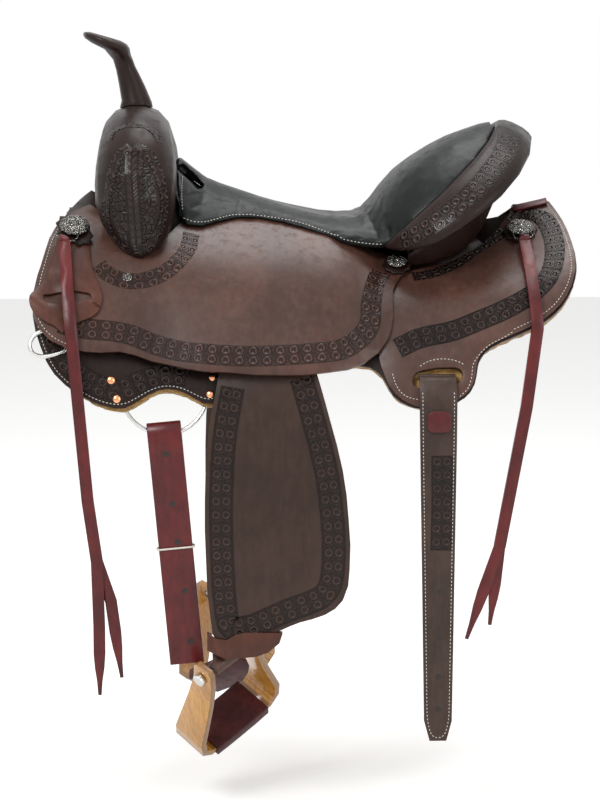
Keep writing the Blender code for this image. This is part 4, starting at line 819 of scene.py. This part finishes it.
@dataclass
class Band:
    """A tooled border laid along a line, with a map that follows it."""

    name: str
    face: Face
    line: Line
    width: float
    look: Look
    body: Body = Body.SADDLE
    height: float = 0.35
    rows: int = 6
    oval: bool = False
    sunk: float = 0.25

    def widths(self, run: list[float]) -> list[float]:
        """The band's width at each point of its line, which an oval one narrows to its ends."""
        if not self.oval:
            return [self.width] * len(run)
        return [self.width * max(0.03, 1.0 - (2.0 * r / run[-1] - 1.0) ** 2) ** 0.5 for r in run]

    def build(self) -> Object:
        """Builds the band, with its edges sunk into the face.

        Returns:
            The band.
        """
        count, last = len(self.line) - 1, self.rows + 2
        work = bmesh.new()
        bmesh.ops.create_grid(work, x_segments=count, y_segments=last, size=0.5)
        columns = {x: i for i, x in enumerate(sorted({round(v.co.x, 6) for v in work.verts}))}
        levels = {y: j for j, y in enumerate(sorted({round(v.co.y, 6) for v in work.verts}))}
        run, sides, maps = lengths(self.line), self.face.sideways(self.line), {}
        widths = self.widths(run)
        for vertex in work.verts:
            i, j = columns[round(vertex.co.x, 6)], levels[round(vertex.co.y, 6)]
            share = (min(max(j, 1), last - 1) - 1) / (last - 2) - 0.5
            height = self.height if 0 < j < last and 0 < i < count else -self.sunk
            vertex.co, _ = self.face.lift(self.line[i] + sides[i] * share * widths[i] * MM, height * MM)
            maps[vertex.index] = (run[i] / (PITCH * MM), share * widths[i] / PITCH)
        uv = work.loops.layers.uv.new("pattern")
        for face in work.faces:
            for loop in face.loops:
                loop[uv].uv = maps[loop.vert.index]
        if sum(f.normal.dot(self.face.outward) for f in work.faces) < 0:
            bmesh.ops.reverse_faces(work, faces=work.faces)
        return add_piece(self.name, work, self.look, self.body, sharp=80.0)


@dataclass
class Stitches:
    """A row of stitches along a line."""

    name: str
    face: Face
    line: Line
    look: Look = Look.WHITE_THREAD
    body: Body = Body.SADDLE
    pitch: float = 4.4
    length: float = 3.1
    thick: float = 0.55
    flatness: float = 0.8
    height: float = 0.1

    def build(self) -> Object:
        """Builds the stitches as one piece.

        Returns:
            The row.
        """
        work = bmesh.new()
        points = even(self.line, self.pitch)
        size = Matrix.Diagonal((self.length / 2 * MM, self.thick * MM, self.thick * self.flatness * MM, 1.0))
        for start, end in zip(points, points[1:]):
            tangent = (end - start).normalized()
            place, normal = self.face.lift((start + end) / 2)
            across = normal.cross(tangent).normalized()
            normal = tangent.cross(across)
            turn = Matrix((tangent, across, normal)).transposed().to_4x4()
            bmesh.ops.create_icosphere(work, subdivisions=1, radius=1.0,
                                       matrix=Matrix.Translation(place + normal * self.height * MM) @ turn @ size)
        return add_piece(self.name, work, self.look, self.body, sharp=90.0)


@dataclass
class Button:
    """A small round part on a face: a rivet's head, a dark disc of painted shade for a punched hole, or a crown."""

    name: str
    place: Vector
    normal: Vector
    profile: Places
    look: Look
    body: Body = Body.SADDLE
    petals: int = 0
    relief: float = 0.0
    steps: int = 20

    def build(self) -> Object:
        """Spins the profile and lays it on its face.

        Returns:
            The part.
        """
        work = bmesh.new()
        verts = [work.verts.new((r * MM, 0.0, h * MM)) for r, h in self.profile]
        edges = [work.edges.new(pair) for pair in zip(verts, verts[1:])]
        bmesh.ops.spin(work, geom=[*verts, *edges], cent=(0, 0, 0), axis=(0, 0, 1), angle=2 * pi, steps=self.steps,
                       use_merge=True)
        bmesh.ops.remove_doubles(work, verts=work.verts, dist=1e-6)
        middle, edge = 0.3, 0.85
        widest = max(r for r, _ in self.profile) * MM
        for vertex in work.verts if self.petals else ():
            petal = abs(cos(self.petals * atan2(vertex.co.y, vertex.co.x) / 2))
            far = vertex.co.xy.length / widest
            wave = petal * min(1.0, far * 1.6) * (1.0 if far > middle else far * 3)
            vertex.co.z += self.relief * MM * wave
            if far > edge:
                vertex.co.xy *= 0.95 + 0.07 * petal
        bmesh.ops.recalc_face_normals(work, faces=work.faces)
        bmesh.ops.transform(work, verts=work.verts, matrix=Matrix.Translation(self.place)
                            @ self.normal.to_track_quat("Z", "Y").to_matrix().to_4x4())
        return add_piece(self.name, work, self.look, self.body, sharp=50.0)


# A punched hole's profile: a dark disc of painted shade inside a low rim.
HOLE_SHADE = ((0.0, 0.05), (2.6, 0.05), (3.0, 0.25), (3.5, 0.25), (3.9, -0.2))
RIVET = ((0.0, 1.9), (2.2, 1.7), (4.0, 0.9), (4.9, 0.2), (5.0, -0.3))
CROWN = ((0.0, 4.1), (0.20, 3.9), (0.29, 3.2), (0.34, 2.5), (0.42, 2.5), (0.60, 2.6), (0.80, 1.9), (0.92, 1.1),
         (1.0, 0.5), (1.02, -0.4))


@dataclass
class Assembly:
    """A part of the saddle with its own pieces, dressed on the near side and mirrored to the off side."""

    pairs: list[tuple[Object, str]] = field(default_factory=list, init=False)

    def keep(self, piece: Object, node: str = "") -> Object:
        """Remembers a near-side piece for its off-side twin, with the twin's node."""
        self.pairs.append((piece, node))
        return piece

    def dress(self, node: str, look: Look, rounding: float = 0.9, body: Body = Body.SADDLE) -> None:
        """Rounds and finishes a near-side node, and remembers it for the off side."""
        self.keep(rounded(node, look, rounding, body), node.replace("_near", "_off"))

    def border(self, name: str, face: Face, line: Line, width: float, look: Look, **more: object) -> None:
        """Lays a near-side band, and remembers it for the off side."""
        self.keep(Band(f"{name}_near", face, line, width, look, **more).build())

    def sew(self, name: str, face: Face, line: Line, **more: object) -> None:
        """Sews a near-side row of stitches, and remembers it for the off side."""
        self.keep(Stitches(f"{name}_near", face, line, **more).build())

    def mirror(self, bodies: dict[str, Body] | None = None) -> None:
        """Makes the off side's twins.

        Args:
            bodies: The off-side body for each near-side one that isn't the saddle's own.
        """
        for piece, node in self.pairs:
            mesh = piece.data.copy()
            mesh.name = name = piece.name.replace("_near", "_off")
            mesh.transform(Matrix.Scale(-1, 4, (0, 1, 0)))
            mesh.flip_normals()
            twin = placed(name, mesh)
            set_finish(twin, piece["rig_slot"])
            if node:
                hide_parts(node)
            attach(twin, (bodies or {}).get(piece["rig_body"], Body.SADDLE).value)
            for finish in piece.modifiers:
                same = twin.modifiers.new(finish.name, finish.type)
                same.levels, same.render_levels = finish.levels, finish.render_levels


@dataclass
class Skirts(Assembly):
    """Skirts, their fleece, the rigging in them and the lace that joins them."""

    stitch_inset: float = 4.0
    wool_curl: float = 1.6
    wool_loft: float = 0.55
    band_share: float = 0.72
    rivet_places: Places = ((-227.8, -140), (-221.2, -161.7), (-108.7, -138), (-111.8, -157.3))

    def wool(self, node: str) -> Object:
        """Curled wool in a fleece's space.

        Args:
            node: The fleece's node.

        Returns:
            The wool.
        """
        work = merged(node)
        for longest, cuts, fill in ((12.0, 3, True), (9.0, 1, False)):
            edges = [e for e in work.edges if e.calc_length() > longest * MM]
            bmesh.ops.subdivide_edges(work, edges=edges, cuts=cuts, use_grid_fill=fill)
            bmesh.ops.triangulate(work, faces=work.faces)
        work.normal_update()
        for vertex in work.verts:
            curl = noise.noise(vertex.co * 210.0) + 0.5 * noise.noise(vertex.co * 480.0)
            vertex.co -= vertex.normal * max(0.0, self.wool_loft + curl) * self.wool_curl * MM
        return add_piece(f"{node}_wool", work, Look.WOOL, Body.SADDLE, node, 90.0)

    def build(self) -> None:
        """Builds the skirts and what they carry."""
        self.keep(self.wool("fleece_near"), "fleece_off")
        self.dress("skirt_near", Look.DARK)
        face = Face("skirt_near")
        wave = face.rim((-309, -75), (-240, -165), (-150, -150), (-60, -150))
        self.sew("skirt_stitches", face, face.inset(wave, self.stitch_inset))
        band = face.inset(wave[:int(len(wave) * self.band_share)], 19.0, 8)
        self.border("skirt_border", face, band, 26.0, Look.DARK_BORDER)
        for i, place in enumerate(self.rivet_places):
            point, normal = face.lift(face.seen(*place), 0.3 * MM)
            self.keep(Button(f"rivet_{i}_near", point, normal, RIVET, Look.COPPER).build())
        for node in ("rigging_ring_near", "breast_dee_near"):
            self.keep(drawn(node), node.replace("_near", "_off"))
        # The tree's bars take dark leather: partly the leather over them, partly painted shade where they show under
        # the cantle.
        self.dress("tree_bar_near", Look.DARK)
        self.mirror()
        rounded("skirt_lace", Look.BURGUNDY, 0.8)


@dataclass
class RearHousings(Assembly):
    """The rear housings with their borders."""

    slot: tuple[float, float] = (162.0, -136.0)
    slot_reach: tuple[float, float] = (32.0, 18.0)
    lobe_fore: Places = ((102, -134), (105.5, -146), (111.5, -155.5), (120.5, -161.5), (132.5, -164))
    lobe_aft: Places = ((179.5, -161.3), (190.3, -151.1), (195, -138), (198.2, -121.7), (214.4, -104.1), (234.5, -93.5),
                        (245.5, -87))
    lower_band: Places = ((108, -107), (135.6, -94.5), (173.5, -86.8), (207, -74), (240.5, -60.4), (275.4, -41.9),
                          (295.4, -20.8), (304.4, 5.2), (302, 29), (292, 40), (273.3, 41), (258, 32))
    upper_band: Places = ((250, 24), (236, 15), (211.6, 3), (186.9, -12.3), (156.9, -23.2), (130.3, -27.7))

    def build(self) -> None:
        """Builds both housings."""
        self.dress("rear_housing_near", Look.SKIRTING)
        face = Face("rear_housing_near")
        rim = face.rim((110, -95), (160, -110), (240, -60), (322, -38), (330, 20), (322, 62))
        self.sew("housing_stitches", face, face.inset(rim, 4.5))
        self.sew("lobe_stitches_fore", face, face.curve(self.lobe_fore))
        self.sew("lobe_stitches_aft", face, face.curve(self.lobe_aft))
        (x, z), (wide, high) = self.slot, self.slot_reach
        over = tuple((x + wide * cos(radians(a)), z + high * sin(radians(a))) for a in range(150, 34, -10))
        self.sew("slot_stitches", face, face.curve(over))
        self.border("housing_border_lower", face, face.curve(self.lower_band, 5), 25.0, Look.DARK_BORDER)
        self.border("housing_border_upper", face, face.curve(self.upper_band, 5), 16.0, Look.DARK_BORDER)
        self.mirror()


@dataclass
class Jockeys(Assembly):
    """The seat jockeys, with borders along their edges and round the swell's foot."""

    lower_band: Places = ((-288, -72), (-270, -77), (-254, -79.9), (-226.2, -82.6), (-202.4, -87.9), (-178.5, -97.7),
                          (-149, -105.5), (-115, -108.9), (-80.9, -111.2), (-42.1, -111.4), (6.7, -108.8), (40, -105.7),
                          (64.2, -93.2), (76.5, -77.8), (78.5, -55.5), (84.6, -36.4), (93.3, -21.8))
    foot_ring: Places = ((-243.5, -7.8), (-229.6, -20.1), (-207.6, -26.9), (-183.4, -25), (-158.8, -13.8),
                         (-139.1, 6.6), (-133.3, 24.9))

    def build(self) -> None:
        """Builds both jockeys, their screws and the near side's latigo keeper."""
        self.dress("seat_jockey_near", Look.SKIRTING)
        self.dress("jockey_screw_near", Look.SILVER, 0.2)
        face = Face("seat_jockey_near")
        self.border("jockey_border", face, face.curve(self.lower_band, 4), 25.0, Look.BORDER)
        front = face.rim((-275, 25), (-300, -20), (-318, -60), (-300, -95), (-270, -100))
        self.sew("jockey_stitches", face, face.inset(front, 4.0))
        self.border("foot_border", face, face.curve(self.foot_ring), 20.0, Look.BORDER, rows=5)
        self.mirror()
        rounded("latigo_keeper", Look.RUSSET)


@dataclass
class Front(Assembly):
    """The swell cover over the fork, and the horn."""

    oval: Places = ((-203.6, 129.1), (-217.7, 118.8), (-225.9, 100.2), (-230.8, 76.9), (-233.6, 53.1), (-229.3, 29.3),
                    (-215.1, 13.1), (-197.4, 6.3), (-182, 15.8), (-170.2, 34.4), (-165.4, 55.4), (-166.4, 76.6),
                    (-172, 100.1), (-181.3, 118.7), (-193, 128), (-203.6, 129.1))
    hood: Places = ((-230, 134), (-226, 146), (-213, 152), (-200, 153), (-187, 151), (-175, 144), (-169, 132))
    panel: Places = ((-202.5, 126), (-203, 102.9), (-202, 79.8), (-200.5, 56.4), (-199, 32.8), (-197.5, 10))

    def build(self) -> None:
        """Builds the swell cover, its carving and the horn."""
        rounded("swell_cover", Look.DARK, 1.4)
        rounded("tree_fork", Look.RAW_WOOD)
        rounded("horn_core", Look.STEEL, 0.3)
        rounded("horn_wrap", Look.DARK, 1.6, angle=40.0)
        face = Face("swell_cover", Vector((0.0, -1.0, 0.15)))
        self.border("swell_panel", face, face.curve(self.panel), 60.0, Look.PANEL, height=0.45, rows=16, oval=True)
        self.border("swell_oval_border", face, face.curve(self.oval, 3), 13.0, Look.DARK_BORDER, height=0.8, rows=4)
        self.border("swell_hood_border", face, face.curve(self.hood, 3), 10.0, Look.DARK_BORDER, height=0.5, rows=4)
        self.mirror()


@dataclass
class Seat:
    """The padded seat over its ground seat."""

    voxel: float = 2.6
    swell: float = 1.6
    pressure: float = 4.0
    steps: int = 10
    hem: Places = ((-144, 45), (-134, 42), (-118, 38), (-100, 34), (-80, 31), (-55, 27), (-30, 24), (0, 20), (30, 16),
                   (58, 12), (84, 8), (95, 8))
    front_hem: Places = ((-144.6, 90), (-145, 82), (-145.2, 74), (-145.2, 66), (-145, 58), (-144, 51))

    def pad(self) -> Object:
        """Inflates the seat a little in its own space.

        Returns:
            The padded seat.
        """
        pad = meshed("seat_padded", merged("seat"))
        remesh = pad.modifiers.new("even_faces", "REMESH")
        remesh.mode, remesh.voxel_size, remesh.use_smooth_shade = "VOXEL", self.voxel * MM, True
        smooth = pad.modifiers.new("soft_edges", "SMOOTH")
        smooth.factor, smooth.iterations = 0.5, 3
        self.apply(pad)
        rest = [v.co.copy() for v in pad.data.vertices]
        cloth = pad.modifiers.new("filling", "CLOTH").settings
        cloth.use_pressure, cloth.uniform_pressure_force = True, self.pressure
        cloth.effector_weights.gravity, cloth.quality = 0.0, 4
        for step in range(self.steps):
            bpy.context.scene.frame_set(step + 1)
        self.apply(pad)
        for vertex, start in zip(pad.data.vertices, rest):
            shift = vertex.co - start
            if shift.length > self.swell * MM:
                vertex.co = start + shift.normalized() * self.swell * MM
        bpy.context.scene.frame_set(1)
        pad.data.shade_smooth()
        Paint.give(pad, Look.BLACK)
        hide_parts("seat")
        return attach(pad, Body.SADDLE.value)

    def tongue(self) -> None:
        """Builds the leather that closes the space between the fork's back and the ground seat's front."""
        start, length, width, top, fall, thickness = -165.0, 27.0, 156.0, 83.0, 0.0092, 2.0
        work = bmesh.new()
        bmesh.ops.create_grid(work, x_segments=8, y_segments=24, size=0.5)
        for vertex in work.verts:
            y = vertex.co.y * width
            vertex.co = Vector((start + (vertex.co.x + 0.5) * length, y, top - fall * y * y)) * MM
        bmesh.ops.solidify(work, geom=work.faces[:], thickness=thickness * MM)
        bmesh.ops.recalc_face_normals(work, faces=work.faces)
        add_piece("seat_tongue", work, Look.DARK, Body.SADDLE)

    @staticmethod
    def apply(piece: Object) -> None:
        """Replaces a piece's mesh by what its modifiers make, and drops them."""
        graph = bpy.context.evaluated_depsgraph_get()
        mesh = bpy.data.meshes.new_from_object(piece.evaluated_get(graph))
        piece.modifiers.clear()
        piece.data = mesh

    def build(self) -> None:
        """Builds the seat, its stitches and the ground seat."""
        self.pad()
        near, off = Face("seat_padded"), Face("seat_padded", Vector((OUTWARD.x, -OUTWARD.y, OUTWARD.z)))
        lower = [near.lower_edge(x, z + 14.0, 4.5) for x, z in self.hem]
        front = [near.seen(*place) for place in self.front_hem]
        for name, line in (("lower", lower), ("front", front)):
            sewn = eased(curve_through(line), 4)
            Stitches(f"seat_stitches_{name}_near", near, sewn).build()
            Stitches(f"seat_stitches_{name}_off", off, [Vector((p.x, -p.y, p.z)) for p in sewn]).build()
        self.tongue()
        rounded("ground_seat", Look.DARK)
        # The tree's cantle takes dark leather: partly the leather over its back, partly painted shade under the roll.
        rounded("tree_cantle", Look.DARK)


@dataclass
class Cantle(Assembly):
    """The cantle's cover and the roll over its rim."""

    band: Places = ((114.6, 14.3), (137, 28.6), (160.2, 44.3), (184, 61.7), (206.3, 81.1), (227.5, 102.4),
                    (244.9, 122.6), (255.5, 138.2))
    edge: Places = ((111.9, 26.4), (138, 47.8), (167.3, 69.3), (195.7, 92.2), (217, 113.7), (229.4, 131.7),
                    (235.6, 144.8))

    def build(self) -> None:
        """Builds the cover, the roll and its border."""
        rounded("cantle_cover", Look.SKIRTING)
        rounded("cantle_roll", Look.DARK, 1.6)
        face = Face("cantle_roll")
        self.border("roll_border", face, face.curve(self.band), 27.0, Look.DARK_BORDER)
        seam = tuple((x + 4.0, z - 3.0) for x, z in self.edge)
        self.sew("roll_stitches", face, face.curve(seam), look=Look.DARK_THREAD_AND_HOLE_SHADE, pitch=5.0, thick=0.8)
        self.mirror()


@dataclass
class Leathers(Assembly):
    """The fenders with their borders, the stirrup leathers, hobble straps and bolts."""

    body: Body = Body.FENDER_NEAR

    def build(self) -> None:
        """Builds both sides' leathers."""
        self.dress("fender_near", Look.FENDER, 1.0, self.body)
        self.dress("stirrup_leather_near", Look.SKIRTING, 0.9, self.body)
        self.dress("hobble_strap_near", Look.RUSSET, 0.9, self.body)
        self.dress("stirrup_bolt_near", Look.STEEL, 0.4, self.body)
        self.dress("leather_hanger_near", Look.SKIRTING)
        face = Face("fender_near")
        rim = face.rim((-95, -150), (-110, -300), (-108, -430), (20, -380), (42, -300), (-5, -135))
        self.border("fender_border", face, face.inset(rim, 19.0, 9), 28.0, Look.FENDER_BORDER, body=self.body)
        self.mirror({self.body.value: Body.FENDER_OFF})


@dataclass
class Stirrups(Assembly):
    """The laminated stirrups and the leather round their treads."""

    middle: tuple[float, float, float] = (-92.2, -154.5, -526.1)
    across: tuple[float, float, float] = (0.723558, 0.545667, 0.422742)
    body: Body = Body.STIRRUP_NEAR

    def build(self) -> None:
        """Builds both stirrups, with the layers' depth as a map."""
        wood = self.keep(rounded("stirrup_near", Look.OAK, 0.8, self.body), "stirrup_off")
        axis, middle = Vector(self.across), Vector(self.middle) * MM
        mesh = wood.data
        uv = mesh.uv_layers.new(name="pattern")
        depth: dict[int, float] = {}
        for polygon in mesh.polygons:
            if abs(polygon.normal.dot(axis)) < 0.5:
                out = 1.0 if polygon.normal.dot(polygon.center - middle) > 0 else 0.0
                depth.update(dict.fromkeys(polygon.vertices, out))
        for loop in mesh.loops:
            uv.data[loop.index].uv = (0.0, depth.get(loop.vertex_index, 0.5))
        self.dress("tread_cover_near", Look.TREAD, 1.2, self.body)
        self.mirror({self.body.value: Body.STIRRUP_OFF})


@dataclass
class Straps:
    """The latigo, the flank billet, the saddle strings and their laces."""

    latigo_holes: Places = ((-164.1, -226), (-157.5, -285.7), (-151.3, -331.2), (-142.9, -390.1), (-136.2, -450.6))
    billet_holes: Places = ((157.5, -392), (157.9, -447.6), (156.5, -494.9), (156.8, -534))
    billet_panel: Places = ((159.2, -228.1), (159.6, -287.7), (158.8, -343))

    @staticmethod
    def punch(name: str, face: Face, places: Places, body: Body) -> None:
        """Builds a strap's row of holes, each a dark disc of painted shade."""
        for i, place in enumerate(places):
            point, normal = face.lift(face.seen(*place))
            Button(f"{name}_hole_{i}", point, normal, HOLE_SHADE, Look.DARK_THREAD_AND_HOLE_SHADE, body).build()

    def build(self) -> None:
        """Builds the straps."""
        rounded("latigo", Look.BURGUNDY, body=Body.LATIGO)
        rounded("latigo_tie", Look.STRING, 0.2, Body.LATIGO)
        self.punch("latigo", Face("latigo"), self.latigo_holes, Body.LATIGO)
        body = Body.FLANK_BILLET
        rounded("flank_billet_near", Look.BILLET, body=body)
        rounded("billet_lace_near", Look.BURGUNDY, 0.8, body)
        face = Face("flank_billet_near")
        self.punch("billet", face, self.billet_holes, body)
        Band("billet_border", face, face.curve(self.billet_panel), 25.0, Look.DARK_BORDER, body).build()
        rim = face.rim((142, -150), (140, -350), (138, -540), (152, -566), (170, -540), (176, -350), (177, -150))
        Stitches("billet_stitches", face, face.inset(rim, 3.5), body=body).build()
        rounded("saddle_string_front_near", Look.BURGUNDY, 0.5, Body.FRONT_STRING)
        rounded("saddle_string_rear_near", Look.BURGUNDY, 0.5, Body.REAR_STRING)


@dataclass
class Conchos:
    """Leather rosettes and silver conchos, with a relief crown on each."""

    petals: int = 10
    relief: float = 0.7
    steps: int = 48
    rim_depth: float = 2.6
    sizes: tuple[tuple[str, float], ...] = (("front", 17.0), ("middle", 12.0), ("rear", 16.0))

    def build(self) -> None:
        """Builds all six sets."""
        for place, radius in self.sizes:
            profile = tuple((r * radius, h) for r, h in CROWN)
            for side, sign in (("near", 1.0), ("off", -1.0)):
                outward = Vector((OUTWARD.x, OUTWARD.y * sign, OUTWARD.z))
                silver, leather = f"concho_{place}_{side}", f"rosette_{place}_{side}"
                rounded(leather, Look.DARK, 0.7)
                rounded(silver, Look.SILVER, 0.3, angle=35.0)
                low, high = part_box(leather)
                middle = (Vector(low) + Vector(high)) / 2
                _, normal = Face(leather, outward).lift(middle)
                centre, _ = Face(silver, outward).lift(middle + normal * 0.02)
                Button(f"crown_{place}_{side}", centre - normal * self.rim_depth * MM, normal, profile, Look.SILVER,
                       petals=self.petals, relief=self.relief, steps=self.steps).build()


@dataclass
class Stage:
    """The floor, the light and the camera."""

    distance: float = 3.2
    elevation: float = 8.0
    azimuth: float = 2.0
    target_height: float = -0.192
    focal_pixels: float = 2560.0
    frame_pixels: float = 800.0
    sensor: float = 36.0
    glow: float = 0.42
    lamps: tuple[tuple[str, tuple[float, float, float], float, float], ...] = (
        ("key", (-1.5, -2.3, 2.1), 1.2, 70.0), ("fill", (2.2, -2.2, 0.9), 1.6, 22.0),
        ("top", (0.3, 0.5, 2.4), 1.6, 40.0))

    def camera(self) -> None:
        """Places the camera at the photograph's angle."""
        up, turn = radians(self.elevation), radians(self.azimuth)
        forward = Vector((sin(turn) * cos(up), cos(turn) * cos(up), -sin(up)))
        data = bpy.data.cameras.new("camera")
        data.sensor_fit, data.sensor_height, data.sensor_width = "VERTICAL", self.sensor, self.sensor
        data.lens = self.focal_pixels / self.frame_pixels * self.sensor
        camera = placed("camera", data)
        camera.location = Vector((0.0, 0.0, self.target_height)) - forward * self.distance
        camera.rotation_euler = forward.to_track_quat("-Z", "Y").to_euler()
        bpy.context.scene.camera = camera

    def floor(self) -> None:
        """Lays a plain pale floor under the stirrups, which glows a little where the camera sees it."""
        work = bmesh.new()
        bmesh.ops.create_grid(work, x_segments=2, y_segments=2, size=6.0)
        bmesh.ops.translate(work, verts=work.verts, vec=(0.0, 0.0, CAD_BOX[0][2] - 0.06))
        floor = meshed("floor", work)
        finish = Finish("pale_floor")
        finish.set(Base_Color=(0.80, 0.80, 0.79, 1.0), Roughness=0.9)
        plain = finish.shader.outputs[0]
        glow = finish.add("ShaderNodeEmission", {"Color": (1.0, 1.0, 1.0, 1.0), "Strength": self.glow}).outputs[0]
        both = finish.add("ShaderNodeAddShader", {0: plain, 1: glow}).outputs[0]
        choice = finish.add("ShaderNodeMixShader", {0: finish.watched(), 1: plain, 2: both}).outputs[0]
        finish.feed(finish.tree.nodes["Material Output"].inputs["Surface"], choice)
        floor.data.materials.append(finish.material)

    def light(self) -> None:
        """Hangs soft lamps and sets a pale world."""
        for name, place, size, power in self.lamps:
            data = bpy.data.lights.new(name, "AREA")
            data.energy, data.size = power, size
            lamp = placed(name, data)
            lamp.location = place
            lamp.rotation_euler = (Vector((0.0, 0.0, -0.1)) - Vector(place)).to_track_quat("-Z", "Y").to_euler()
        world = bpy.context.scene.world = bpy.data.worlds.new("pale_world")
        world.use_nodes = True
        wiring, back = Wiring(world.node_tree), world.node_tree.nodes["Background"].inputs
        wiring.feed(back["Color"], (1.0, 1.0, 1.0, 1.0))
        wiring.feed(back["Strength"], wiring.plus(self.glow, wiring.times(wiring.watched(), 1.0 - self.glow)))

    def build(self) -> None:
        """Builds the whole stage."""
        self.camera()
        self.floor()
        self.light()
        bpy.context.scene.view_settings.view_transform = "Standard"


def main() -> None:
    """Builds the saddle's parts in order."""
    logging.basicConfig(level=logging.INFO, format="%(message)s")
    Stage().build()
    for build_group in (build_grain, build_drift, build_border, build_panel, build_handling):
        build_group()
    for part in (Skirts(), RearHousings(), Jockeys(), Front(), Seat(), Cantle(), Leathers(), Stirrups(), Straps(),
                 Conchos()):
        part.build()
        LOG.info("%s built", type(part).__name__)


if __name__ == "__main__":
    main()
